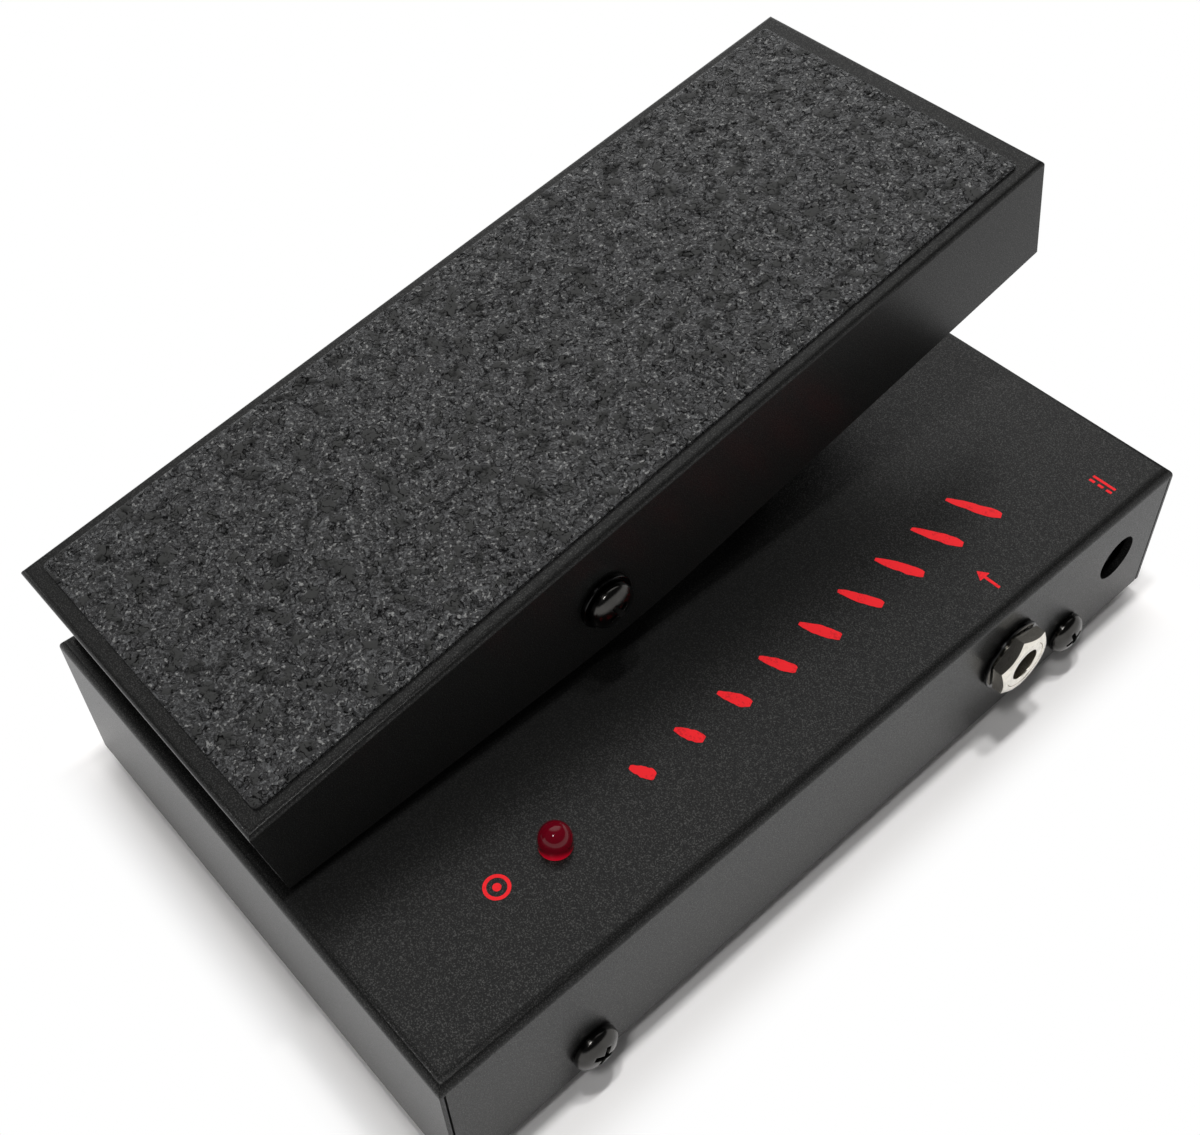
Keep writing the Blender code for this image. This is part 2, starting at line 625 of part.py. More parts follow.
def build_cover():
    """Folded cover: top and four walls, open below, with its holes and corner seams."""

    def fill(shape):
        low = Vector((-HALF_WIDTH, -HALF_LENGTH, BASE_EDGE_Z))
        high = Vector((HALF_WIDTH, HALF_LENGTH, BASE_TOP_Z))
        place = Matrix.Translation((low + high) / 2) @ Matrix.Diagonal((*(high - low), 1))
        bmesh.ops.create_cube(shape, size=1, matrix=place)
        bottom = min(shape.faces, key=lambda face: face.calc_center_median().z)
        bmesh.ops.delete(shape, geom=[bottom], context="FACES_ONLY")
        weight = shape.edges.layers.float.new("bevel_weight_edge")
        for edge in shape.edges:
            if all(abs(vert.co.z - BASE_TOP_Z) < CLEARANCE for vert in edge.verts):
                edge[weight] = 1.0

    cover = add_part("base_cover", mesh_from("base_cover", fill), Finish.POWDER_COAT)
    folded_sheet(cover, CASE_BEND_RADIUS, CASE_SHEET)

    for side_name, side in SIDES.items():
        for end_name, end in ENDS.items():
            tag = f"{side_name}_{end_name}"
            near = end * (HALF_LENGTH - CASE_SHEET)
            span = sorted((near, near - end * CORNER_SEAM))
            reach = sorted((side * (HALF_WIDTH + CUT_MARGIN), side * (HALF_WIDTH - 2 * CASE_SHEET)))
            low = (reach[0], span[0], BASE_EDGE_Z - CUT_MARGIN)
            high = (reach[1], span[1], BASE_TOP_Z - CASE_BEND_RADIUS)
            seam = box_mesh("seam_" + tag, low, high)
            combine(cover, add_cutter("seam_" + tag, seam))
            start = (side * (HALF_WIDTH - CASE_SHEET), end * CASE_SCREW_Y, CASE_SCREW_Z)
            radius = CASE_SCREW_RADIUS + CLEARANCE
            drill(cover, "case_screw_hole_" + tag, radius, start, side_matrix(side), CASE_SHEET)
        start = (side * (HALF_WIDTH - CASE_SHEET), JACK_Y, SOCKET_AXIS_Z)
        tag = "jack_hole_" + side_name
        drill(cover, tag, JACK_HOLE_RADIUS, start, side_matrix(side), CASE_SHEET)

    start = (HALF_WIDTH - CASE_SHEET, INLET_Y, SOCKET_AXIS_Z)
    drill(cover, "inlet_hole", INLET_HOLE_RADIUS, start, side_matrix(SIDES["right"]), CASE_SHEET)

    upright = Matrix.Identity(4)
    start = (LED_X, LED_Y, COVER_UNDERSIDE_Z)
    drill(cover, "led_hole", LED_RADIUS + CLEARANCE, start, upright, CASE_SHEET)
    for offset in (-BRACKET_SCREW_FROM_MIDDLE, BRACKET_SCREW_FROM_MIDDLE):
        seat = bracket_screw_place(offset)
        start = (seat.x, seat.y, COVER_UNDERSIDE_Z)
        radius = BRACKET_SCREW_RADIUS + CLEARANCE
        drill(cover, f"bracket_hole_{offset:+.3f}", radius, start, upright, CASE_SHEET)
    stops = {
        "heel_stop": stop_y(HEEL_STOP_FROM_HEEL, REST_TILT),
        "toe_stop": stop_y(TOE_STOP_FROM_HEEL, PRESSED_TILT),
    }
    for name, y in stops.items():
        start = (TREADLE_X, y, COVER_UNDERSIDE_Z)
        radius = STOP_STEM_RADIUS + CLEARANCE
        drill(cover, name + "_hole", radius, start, upright, CASE_SHEET)

    edges = (VANE_TOE_EDGE - VANE_LENGTH_Y, VANE_TOE_EDGE)
    crossings = [
        vane_y_at(height, edge, tilt)
        for height in (COVER_UNDERSIDE_Z, BASE_TOP_Z)
        for edge in edges
        for tilt in (REST_TILT, PRESSED_TILT)
    ]
    half_slot = VANE_SHEET / 2 + SLOT_SIDE_ROOM
    low = (VANE_X - half_slot, min(crossings) - SLOT_END_ROOM, COVER_UNDERSIDE_Z - CUT_MARGIN)
    high = (VANE_X + half_slot, max(crossings) + SLOT_END_ROOM, BASE_TOP_Z + CUT_MARGIN)
    combine(cover, add_cutter("vane_slot", box_mesh("vane_slot", low, high)))


def build_bottom_plate():
    """Bottom plate with its two flanges turned up inside the cover's side walls."""
    top = CASE_SCREW_Z + FLANGE_ABOVE_SCREW
    corners = [
        (-FLANGE_OUTER_X, top),
        (-FLANGE_OUTER_X, BASE_EDGE_Z),
        (FLANGE_OUTER_X, BASE_EDGE_Z),
        (FLANGE_OUTER_X, top),
    ]
    end = HALF_LENGTH - CASE_SHEET - CORNER_SEAM - CLEARANCE
    mesh = channel_mesh("bottom_plate", corners, (-end, end))
    plate = add_part("bottom_plate", mesh, Finish.POWDER_COAT)
    folded_sheet(plate, CASE_BEND_RADIUS, CASE_SHEET)
    for side_name, side in SIDES.items():
        for end_name, way in ENDS.items():
            tag = f"{side_name}_{end_name}"
            flange_inner_x = FLANGE_OUTER_X - CASE_SHEET
            start = (side * flange_inner_x, way * CASE_SCREW_Y, CASE_SCREW_Z)
            radius = CASE_SCREW_RADIUS + CLEARANCE
            drill(plate, "flange_hole_" + tag, radius, start, side_matrix(side), CASE_SHEET)
            foot = foot_place(side, way)
            start = (foot.x, foot.y, BASE_EDGE_Z)
            radius = FOOT_SCREW_RADIUS + CLEARANCE
            drill(plate, "foot_hole_" + tag, radius, start, Matrix.Identity(4), CASE_SHEET)


def build_feet():
    """Four rubber feet, each with a screw sunk in its recess."""
    top = BASE_EDGE_Z - CLEARANCE
    hole = FOOT_SCREW_RADIUS + CLEARANCE
    foot_profile = [
        (hole, top),
        (FOOT_RADIUS, top),
        (FOOT_RADIUS, FOOT_TAPER),
        (FOOT_RADIUS - FOOT_TAPER, 0),
        (FOOT_RECESS_RADIUS, 0),
        (FOOT_RECESS_RADIUS, top - FOOT_FLOOR),
        (hole, top - FOOT_FLOOR),
    ]
    head_top = top - FOOT_FLOOR - CLEARANCE
    screw = [
        (0, head_top + FOOT_SCREW_LENGTH),
        (FOOT_SCREW_RADIUS, head_top + FOOT_SCREW_LENGTH),
        (FOOT_SCREW_RADIUS, head_top),
        (FOOT_SCREW_HEAD_RADIUS, head_top),
        (FOOT_SCREW_HEAD_RADIUS - FOOT_SCREW_HEAD_TAPER, head_top - FOOT_SCREW_HEAD_HEIGHT),
        (0, head_top - FOOT_SCREW_HEAD_HEIGHT),
    ]
    for side_name, side in SIDES.items():
        for end_name, end in ENDS.items():
            tag = f"{end_name}_{side_name}"
            place = Matrix.Translation(foot_place(side, end))
            add_turned("foot_" + tag, foot_profile, Finish.FOOT_RUBBER, place=place, ring=True)
            add_turned("foot_screw_" + tag, screw, Finish.ZINC, place=place, steps=HIDDEN_STEPS)


def build_case_screws():
    """Two cross-head screws in each side wall."""
    head = (CASE_SCREW_HEAD_RADIUS, CASE_SCREW_HEAD_HEIGHT)
    shank = (CASE_SCREW_RADIUS, CASE_SCREW_LENGTH)
    for side_name, side in SIDES.items():
        for end_name, end in ENDS.items():
            name = f"case_screw_{end_name}_{side_name}"
            add_cross_head_screw(name, head, shank, Finish.BLACK_SCREW, case_screw_place(side, end))


def build_jack(prefix, side):
    """A panel jack: body on the board, threaded bushing through the wall, washer and nut."""
    wall = HALF_WIDTH - CASE_SHEET
    axis = Matrix.Translation((0, JACK_Y, SOCKET_AXIS_Z)) @ side_matrix(side)
    washer_low = HALF_WIDTH + CLEARANCE
    nut_low = washer_low + JACK_WASHER_THICKNESS + CLEARANCE
    nut_high = nut_low + JACK_NUT_HEIGHT
    shoulder_high = wall - CLEARANCE
    shoulder_low = shoulder_high - JACK_SHOULDER
    body_high = shoulder_low - CLEARANCE

    half = JACK_BODY_WIDTH / 2
    reach = sorted((side * body_high, side * (body_high - JACK_BODY_LENGTH)))
    low = (reach[0], JACK_Y - half, BOARD_SEAT_Z)
    high = (reach[1], JACK_Y + half, SOCKET_AXIS_Z + half)
    body = add_part(prefix + "_body", box_mesh(prefix + "_body", low, high), Finish.BLACK_PLASTIC)
    bore = round_mesh(
        prefix + "_plug_bore", JACK_BORE_RADIUS, body_high - JACK_BORE_DEPTH, body_high + CUT_MARGIN
    )
    combine(body, add_cutter(prefix + "_plug_bore", bore, place=axis))

    bushing = [
        (JACK_BORE_RADIUS, nut_high),
        (JACK_BUSHING_RADIUS, nut_high),
        (JACK_BUSHING_RADIUS, shoulder_high),
        (JACK_SHOULDER_RADIUS, shoulder_high),
        (JACK_SHOULDER_RADIUS, shoulder_low),
        (JACK_BORE_RADIUS, shoulder_low),
    ]
    add_turned(prefix + "_bushing", bushing, Finish.NICKEL, place=axis, ring=True)

    washer_high = washer_low + JACK_WASHER_THICKNESS
    washer = [
        (JACK_HOLE_RADIUS, washer_high),
        (JACK_WASHER_RADIUS, washer_high),
        (JACK_WASHER_RADIUS, washer_low),
        (JACK_HOLE_RADIUS, washer_low),
    ]
    add_turned(prefix + "_washer", washer, Finish.BLACK_WASHER, place=axis, ring=True)

    nut_place = axis @ Matrix.Translation((0, 0, nut_low))
    nut = add_hex_nut(
        prefix + "_nut",
        2 * JACK_NUT_FLAT_RADIUS,
        JACK_NUT_HEIGHT,
        JACK_HOLE_RADIUS,
        Finish.NICKEL,
        nut_place,
    )
    chamfer_start = JACK_NUT_FLAT_RADIUS + JACK_NUT_CHAMFER_START
    chamfer_edge = chamfer_start + JACK_NUT_CHAMFER_RUN
    chamfer = [
        (0, JACK_NUT_HEIGHT),
        (chamfer_start, JACK_NUT_HEIGHT),
        (chamfer_edge, JACK_NUT_HEIGHT - JACK_NUT_CHAMFER_DROP),
        (chamfer_edge, -CUT_MARGIN),
        (0, -CUT_MARGIN),
    ]
    tool = add_cutter(
        prefix + "_chamfer", profile_mesh(prefix + "_chamfer", chamfer, False), place=nut_place
    )
    turn(tool, TURN_STEPS)
    combine(nut, tool, "INTERSECT")


def build_inlet():
    """Power inlet on the board, its round socket and centre pin set back behind the wall."""
    face = HALF_WIDTH - CASE_SHEET - INLET_SETBACK
    half = INLET_WIDTH / 2
    low = (face - INLET_LENGTH, INLET_Y - half, BOARD_SEAT_Z)
    high = (face, INLET_Y + half, SOCKET_AXIS_Z + half)
    inlet = add_part("power_inlet", box_mesh("power_inlet", low, high), Finish.BLACK_PLASTIC)
    socket = [
        (INLET_PIN_RADIUS, CUT_MARGIN),
        (INLET_SOCKET_RADIUS, CUT_MARGIN),
        (INLET_SOCKET_RADIUS, -INLET_SOCKET_DEPTH),
        (INLET_PIN_RADIUS, -INLET_SOCKET_DEPTH),
    ]
    place = Matrix.Translation((face, INLET_Y, SOCKET_AXIS_Z)) @ AXIS_TO_X
    tool = add_cutter("inlet_socket", profile_mesh("inlet_socket", socket, True), place=place)
    turn(tool, TURN_STEPS)
    combine(inlet, tool)


def build_board():
    """Circuit board on two standoffs, with the parts that stand on it."""
    heel_y = board_heel_y()
    low = (-BOARD_HALF_WIDTH, heel_y, BOARD_UNDERSIDE_Z)
    high = (BOARD_HALF_WIDTH, BOARD_TOE_Y, BOARD_TOP_Z)
    board = add_part("circuit_board", box_mesh("circuit_board", low, high), Finish.BOARD_GREEN)
    upright = Matrix.Identity(4)
    bore = BOARD_SCREW_RADIUS + CLEARANCE
    standoff = [
        (bore, STANDOFF_HIGH_Z),
        (STANDOFF_RADIUS, STANDOFF_HIGH_Z),
        (STANDOFF_RADIUS, STANDOFF_LOW_Z),
        (bore, STANDOFF_LOW_Z),
    ]
    screw = screw_profile(
        BOARD_SCREW_HEAD_RADIUS, BOARD_SCREW_HEAD_HEIGHT, BOARD_SCREW_RADIUS, BOARD_SCREW_LENGTH
    )
    standoff_y = heel_y + STANDOFF_INSET_Y
    for side_name, side in SIDES.items():
        x = side * (BOARD_HALF_WIDTH - STANDOFF_INSET_X)
        start = (x, standoff_y, BOARD_UNDERSIDE_Z)
        drill(board, "board_hole_" + side_name, bore, start, upright, BOARD_THICKNESS)
        place = Matrix.Translation((x, standoff_y, 0))
        name = "board_standoff_" + side_name
        add_turned(name, standoff, Finish.ZINC, place=place, ring=True, steps=HIDDEN_STEPS)
        seat = Matrix.Translation((x, standoff_y, BOARD_SEAT_Z))
        add_turned("board_screw_" + side_name, screw, Finish.ZINC, place=seat, steps=HIDDEN_STEPS)

    blocks = (
        ("bypass_relay", RELAY_SIZE, RELAY_PLACE, Finish.RELAY_CASE),
        ("signal_chip", CHIP_SIZE, CHIP_PLACE, Finish.BLACK_PLASTIC),
    )
    for name, (width, length, height), (x, from_toe), finish in blocks:
        y = BOARD_TOE_Y - from_toe
        low = (x - width / 2, y - length / 2, BOARD_SEAT_Z)
        high = (x + width / 2, y + length / 2, BOARD_SEAT_Z + height)
        add_part(name, box_mesh(name, low, high), finish)
    cans = (
        ("filter_inductor", INDUCTOR_RADIUS, INDUCTOR_HEIGHT, INDUCTOR_PLACE, Finish.INDUCTOR_CASE),
        (
            "supply_capacitor",
            CAPACITOR_RADIUS,
            CAPACITOR_HEIGHT,
            CAPACITOR_PLACE,
            Finish.CAPACITOR_SLEEVE,
        ),
    )
    for name, radius, height, (x, from_toe), finish in cans:
        place = Matrix.Translation((x, BOARD_TOE_Y - from_toe, BOARD_SEAT_Z))
        add_part(name, round_mesh(name, radius, 0, height), finish, place=place)


def build_sensor():
    """Slotted light sensor on the board, under the shutter blade."""
    middle_y = sensor_y()
    half_slot = VANE_SHEET / 2 + SLOT_SIDE_ROOM
    half_width = half_slot + SENSOR_ARM
    top_z = BOARD_SEAT_Z + SENSOR_HEIGHT
    low = (VANE_X - half_width, middle_y - SENSOR_LENGTH / 2, BOARD_SEAT_Z)
    high = (VANE_X + half_width, middle_y + SENSOR_LENGTH / 2, top_z)
    sensor = add_part("position_sensor", box_mesh("position_sensor", low, high), Finish.BLACK_PLASTIC)
    low = (VANE_X - half_slot, middle_y - SENSOR_LENGTH, BOARD_SEAT_Z + SENSOR_FLOOR)
    high = (VANE_X + half_slot, middle_y + SENSOR_LENGTH, top_z + CUT_MARGIN)
    combine(sensor, add_cutter("sensor_slot", box_mesh("sensor_slot", low, high)))


def smooth_route(points, steps):
    """Points along one cubic curve with the given four control points."""
    first, second, third, last = (Vector(point) for point in points)
    route = []
    for step in range(steps + 1):
        t = step / steps
        s = 1 - t
        route.append(first * s**3 + second * 3 * s * s * t + third * 3 * s * t * t + last * t**3)
    return route


def build_lamp():
    """Indicator lamp, the holder that keeps it against the cover, and its wires to the board."""
    flange_high = COVER_UNDERSIDE_Z - CLEARANCE
    flange_low = flange_high - LED_FLANGE
    crown = BASE_TOP_Z + LED_STANDS_PROUD
    dome = dome_profile(LED_RADIUS, LED_RADIUS, crown - LED_RADIUS, steps=6)
    lamp = dome + [
        (LED_RADIUS, flange_high),
        (LED_FLANGE_RADIUS, flange_high),
        (LED_FLANGE_RADIUS, flange_low),
        (0, flange_low),
    ]
    place = Matrix.Translation((LED_X, LED_Y, 0))
    add_turned("indicator_led", lamp, Finish.RED_LENS, place=place)

    ledge = flange_low - CLEARANCE
    foot = flange_high - LED_HOLDER_DEPTH
    holder = [
        (LED_POCKET_RADIUS, flange_high),
        (LED_HOLDER_RADIUS, flange_high),
        (LED_HOLDER_RADIUS, foot),
        (LED_HOLDER_BORE, foot),
        (LED_HOLDER_BORE, ledge),
        (LED_POCKET_RADIUS, ledge),
    ]
    add_turned(
        "led_holder", holder, Finish.BLACK_PLASTIC, place=place, ring=True, steps=HIDDEN_STEPS
    )

    pad_y = board_heel_y() + WIRE_SPACING
    for name, offset, finish in (
        ("led_wire_red", WIRE_SPACING / 2, Finish.RED_WIRE),
        ("led_wire_black", -WIRE_SPACING / 2, Finish.BLACK_WIRE),
    ):
        start = Vector((LED_X + offset, LED_Y, flange_low - CLEARANCE))
        end = Vector((LED_X - LED_HOLDER_RADIUS + offset, pad_y, BOARD_SEAT_Z))
        sag = start.z - PLATE_TOP_Z
        controls = (start, start - Vector((0, 0, sag)), end + Vector((0, -sag, sag)), end)
        route = smooth_route(controls, WIRE_STEPS)
        add_part(name, tube_mesh(name, route, WIRE_RADIUS, WIRE_ROUNDNESS), finish)


def build_bracket():
    """U bracket that carries the pivot, bolted to the case top with two screws and nuts."""
    tongue_top = PIVOT_Z + BRACKET_LENGTH / 2
    x = TREADLE_X
    corners = [
        (x - BRACKET_OUTER_X, tongue_top),
        (x - BRACKET_OUTER_X, BRACKET_FLOOR_Z),
        (x + BRACKET_OUTER_X, BRACKET_FLOOR_Z),
        (x + BRACKET_OUTER_X, tongue_top),
    ]
    half = BRACKET_LENGTH / 2
    mesh = channel_mesh("pivot_bracket", corners, (PIVOT_Y - half, PIVOT_Y + half))
    bracket = add_part("pivot_bracket", mesh, Finish.POWDER_COAT)
    folded_sheet(bracket, BRACKET_BEND_RADIUS, BRACKET_SHEET)

    steps = TURN_STEPS // 2
    arc = [
        (half * math.cos(math.pi * i / steps), half * math.sin(math.pi * i / steps))
        for i in range(steps + 1)
    ]
    drop = PIVOT_Z - BASE_TOP_Z + CUT_MARGIN
    wide = half + CLEARANCE
    outline = [(wide, -drop), (wide, 0)] + arc + [(-wide, 0), (-wide, -drop)]
    reach = BRACKET_OUTER_X + CUT_MARGIN
    shape = outline_mesh("bracket_tongue", outline, -reach, reach)
    place = Matrix.Translation((x, PIVOT_Y, PIVOT_Z)) @ SIDE_VIEW
    combine(bracket, add_cutter("bracket_tongue", shape, place=place), "INTERSECT")

    start = (x - BRACKET_OUTER_X, PIVOT_Y, PIVOT_Z)
    bore = PIVOT_SCREW_RADIUS + CLEARANCE
    drill(bracket, "bracket_pivot_bore", bore, start, AXIS_TO_X, 2 * BRACKET_OUTER_X)

    grip = 2 * CLEARANCE + BRACKET_SHEET + CASE_SHEET
    screw = screw_profile(
        BRACKET_SCREW_HEAD_RADIUS,
        BRACKET_SCREW_HEAD_HEIGHT,
        BRACKET_SCREW_RADIUS,
        grip + BRACKET_NUT_HEIGHT + 2 * SCREW_TIP + CLEARANCE,
    )
    for tag, offset in (("right", BRACKET_SCREW_FROM_MIDDLE), ("left", -BRACKET_SCREW_FROM_MIDDLE)):
        seat = bracket_screw_place(offset)
        start = (seat.x, seat.y, BRACKET_FLOOR_Z)
        radius = BRACKET_SCREW_RADIUS + CLEARANCE
        drill(bracket, "bracket_floor_hole_" + tag, radius, start, Matrix.Identity(4), BRACKET_SHEET)
        place = Matrix.Translation(seat)
        add_turned("bracket_screw_" + tag, screw, Finish.ZINC, place=place, steps=HIDDEN_STEPS)
        nut_z = COVER_UNDERSIDE_Z - CLEARANCE - BRACKET_NUT_HEIGHT
        place = Matrix.Translation((seat.x, seat.y, nut_z))
        add_hex_nut(
            "bracket_nut_" + tag,
            BRACKET_NUT_ACROSS_FLATS,
            BRACKET_NUT_HEIGHT,
            radius,
            Finish.ZINC,
            place,
        )


def build_pivot(pivot):
    """Pivot screws, washers and nuts on the bracket, and the bushings in the treadle's walls."""
    wall_outer = TREADLE_WIDTH / 2
    washer_low = wall_outer + CLEARANCE
    head_seat = washer_low + PIVOT_WASHER_THICKNESS + CLEARANCE
    nut_face = BRACKET_OUTER_X - BRACKET_SHEET - CLEARANCE
    shank = head_seat - nut_face + PIVOT_NUT_HEIGHT + SCREW_TIP
    bore = PIVOT_SCREW_RADIUS + CLEARANCE
    washer = [
        (bore, washer_low + PIVOT_WASHER_THICKNESS),
        (PIVOT_WASHER_RADIUS, washer_low + PIVOT_WASHER_THICKNESS),
        (PIVOT_WASHER_RADIUS, washer_low),
        (bore, washer_low),
    ]
    flange_high = WALL_INNER_X - CLEARANCE
    bushing = [
        (bore, wall_outer),
        (BUSHING_RADIUS, wall_outer),
        (BUSHING_RADIUS, flange_high),
        (BUSHING_FLANGE_RADIUS, flange_high),
        (BUSHING_FLANGE_RADIUS, flange_high - BUSHING_FLANGE),
        (bore, flange_high - BUSHING_FLANGE),
    ]
    for side_name, side in SIDES.items():
        axis = Matrix.Translation((TREADLE_X, PIVOT_Y, PIVOT_Z)) @ side_matrix(side)
        add_cross_head_screw(
            "pivot_screw_" + side_name,
            (PIVOT_HEAD_RADIUS, PIVOT_HEAD_HEIGHT),
            (PIVOT_SCREW_RADIUS, shank),
            Finish.BLACK_SCREW,
            axis @ Matrix.Translation((0, 0, head_seat)),
        )
        add_turned("pivot_washer_" + side_name, washer, Finish.BLACK_WASHER, place=axis, ring=True)
        add_hex_nut(
            "pivot_nut_" + side_name,
            PIVOT_NUT_ACROSS_FLATS,
            PIVOT_NUT_HEIGHT,
            bore,
            Finish.ZINC,
            axis @ Matrix.Translation((0, 0, nut_face - PIVOT_NUT_HEIGHT)),
        )
        add_turned(
            "pivot_bushing_" + side_name,
            bushing,
            Finish.NYLON,
            pivot,
            side_matrix(side),
            ring=True,
            steps=HIDDEN_STEPS,
        )


def wall_line():
    """The lower edge of a treadle side wall, heel to toe, as places from the heel and below the top."""
    heel = (0, HEEL_WALL_DEPTH)
    knee = (KNEE_FROM_HEEL, KNEE_WALL_DEPTH)
    toe = (TREADLE_LENGTH, TOE_WALL_DEPTH)
    return [heel] + rounded_corner(heel, knee, toe, KNEE_ROUNDING) + [toe]


def build_treadle(pivot):
    """Treadle channel, its foot pad, and the shutter blade riveted under it."""
    half = TREADLE_WIDTH / 2
    heel_y, top_z = on_treadle(0, 0)
    toe_y = heel_y + TREADLE_LENGTH
    deep_z = top_z - KNEE_WALL_DEPTH - CUT_MARGIN
    corners = [(half, deep_z), (half, top_z), (-half, top_z), (-half, deep_z)]
    mesh = channel_mesh("treadle", corners, (heel_y, toe_y))
    treadle = add_part("treadle", mesh, Finish.POWDER_COAT, pivot)
    folded_sheet(treadle, TREADLE_BEND_RADIUS, TREADLE_SHEET)

    line = [on_treadle(*point) for point in wall_line()]
    (first_y, first_z), (last_y, last_z) = line[0], line[-1]
    floor = deep_z - CUT_MARGIN
    outline = [(first_y - CUT_MARGIN, floor), (last_y + CUT_MARGIN, floor)]
    outline += [(last_y + CUT_MARGIN, last_z)] + line[::-1] + [(first_y - CUT_MARGIN, first_z)]
    trim = outline_mesh("wall_trim", outline, -TREADLE_WIDTH, TREADLE_WIDTH)
    combine(treadle, add_cutter("wall_trim", trim, pivot, SIDE_VIEW))
    start = (-half, 0, 0)
    bore = BUSHING_RADIUS + CLEARANCE
    drill(treadle, "treadle_pivot_bore", bore, start, AXIS_TO_X, TREADLE_WIDTH, pivot)

    side = half - PAD_SIDE_MARGIN
    low_y, high_y = heel_y + PAD_HEEL_MARGIN, toe_y - PAD_TOE_MARGIN
    square = [(side, low_y), (side, high_y), (-side, high_y), (-side, low_y)]
    outline = []
    for i, corner in enumerate(square):
        outline += rounded_corner(square[i - 1], corner, square[(i + 1) % 4], PAD_CORNER, steps=4)
    mesh = outline_mesh("treadle_pad", outline, top_z + CLEARANCE, top_z + PAD_THICKNESS)
    add_part("treadle_pad", mesh, Finish.PAD_RUBBER, pivot)

    build_vane(pivot, treadle)


def build_vane(pivot, treadle):
    """Shutter blade: an angle of thin sheet on two rivets through the treadle plate."""
    middle_y, tip_z = on_treadle(VANE_FROM_HEEL, VANE_REACH)
    blade_x = VANE_X - TREADLE_X + VANE_SHEET / 2
    corners = [(blade_x, tip_z), (blade_x, VANE_FOOT_Z), (blade_x - VANE_FOOT, VANE_FOOT_Z)]
    half = VANE_LENGTH_Y / 2
    mesh = channel_mesh("shutter_vane", corners, (middle_y - half, middle_y + half))
    vane = add_part("shutter_vane", mesh, Finish.BLACK_PLASTIC, pivot)
    folded_sheet(vane, VANE_SHEET, VANE_SHEET)

    bore = RIVET_RADIUS + CLEARANCE
    foot_low = VANE_FOOT_Z - VANE_SHEET
    head_top = foot_low - CLEARANCE
    rivet_top = PIVOT_BELOW_TOP - CLEARANCE
    rivet = [
        (0, rivet_top),
        (RIVET_RADIUS, rivet_top),
        (RIVET_RADIUS, head_top),
        (RIVET_HEAD_RADIUS, head_top),
        (RIVET_HEAD_RADIUS - RIVET_HEAD_TAPER, head_top - RIVET_HEAD_HEIGHT),
        (0, head_top - RIVET_HEAD_HEIGHT),
    ]
    rivet_x = blade_x - RIVET_FROM_BLADE
    for end_name, end in ENDS.items():
        y = middle_y + end * RIVET_SPACING / 2
        start = (rivet_x, y, foot_low)
        length = PIVOT_BELOW_TOP - foot_low
        for part, name in ((vane, "vane_hole_"), (treadle, "treadle_rivet_hole_")):
            drill(part, name + end_name, bore, start, Matrix.Identity(4), length, pivot)
        place = Matrix.Translation((rivet_x, y, 0))
        add_turned("vane_rivet_" + end_name, rivet, Finish.ZINC, pivot, place, steps=HIDDEN_STEPS)


def spring_points(low, high):
    """A coil about the Z axis with a short straight end at the bottom and at the top."""
    straight = 2 * SPRING_WIRE_RADIUS
    coil_low, coil_high = low + straight, high - straight
    count = SPRING_TURNS * SPRING_POINTS_PER_TURN
    start = -math.pi / 2
    points = [(0, -SPRING_MEAN_RADIUS, low)]
    for i in range(count + 1):
        angle = start + math.tau * i / SPRING_POINTS_PER_TURN
        height = coil_low + (coil_high - coil_low) * i / count
        x = SPRING_MEAN_RADIUS * math.cos(angle)
        y = SPRING_MEAN_RADIUS * math.sin(angle)
        points.append((x, y, height))
    points.append((0, -SPRING_MEAN_RADIUS, high))
    return [Vector(point) for point in points]


def least_self_gap(points, wire_radius):
    """Smallest gap between stretches of a tube that are half a turn or more apart along it."""
    apart = SPRING_POINTS_PER_TURN // 2
    least = min(
        (points[i] - points[j]).length
        for i in range(len(points))
        for j in range(i + apart, len(points))
    )
    return least - 2 * wire_radius


def build_spring():
    """Return spring between its seat on the case and the treadle plate."""
    x = TREADLE_X + SPRING_OFFSET_X
    y = in_world(SPRING_FROM_HEEL, TREADLE_SHEET, REST_TILT)[0]
    seat_low = BASE_TOP_Z + CLEARANCE
    floor = seat_low + SPRING_SEAT_FLOOR
    place = Matrix.Translation((x, y, 0))
    spring_outer = SPRING_MEAN_RADIUS + SPRING_WIRE_RADIUS
    boss = SPRING_MEAN_RADIUS - SPRING_WIRE_RADIUS - 2 * CLEARANCE
    seat = [
        (0, floor + SPRING_SEAT_BOSS_HEIGHT),
        (boss, floor + SPRING_SEAT_BOSS_HEIGHT),
        (boss, floor),
        (spring_outer + 2 * CLEARANCE, floor),
        (spring_outer + 2 * CLEARANCE, floor + SPRING_SEAT_RIM),
        (SPRING_SEAT_RADIUS, floor + SPRING_SEAT_RIM),
        (SPRING_SEAT_RADIUS, seat_low),
        (0, seat_low),
    ]
    add_turned("spring_seat", seat, Finish.BLACK_PLASTIC, place=place)

    low = floor + CLEARANCE
    high = underside_z(y - spring_outer, REST_TILT) - CLEARANCE
    points = spring_points(low, high)
    gap = least_self_gap(points, SPRING_WIRE_RADIUS)
    print(f"return_spring: least gap between turns {gap * 1000:.2f} mm")
    if gap <= SPRING_LEAST_GAP:
        print("return_spring: the turns lie too close")
    mesh = tube_mesh("return_spring", points, SPRING_WIRE_RADIUS, SPRING_ROUNDNESS)
    add_part("return_spring", mesh, Finish.SPRING_STEEL, place=place)


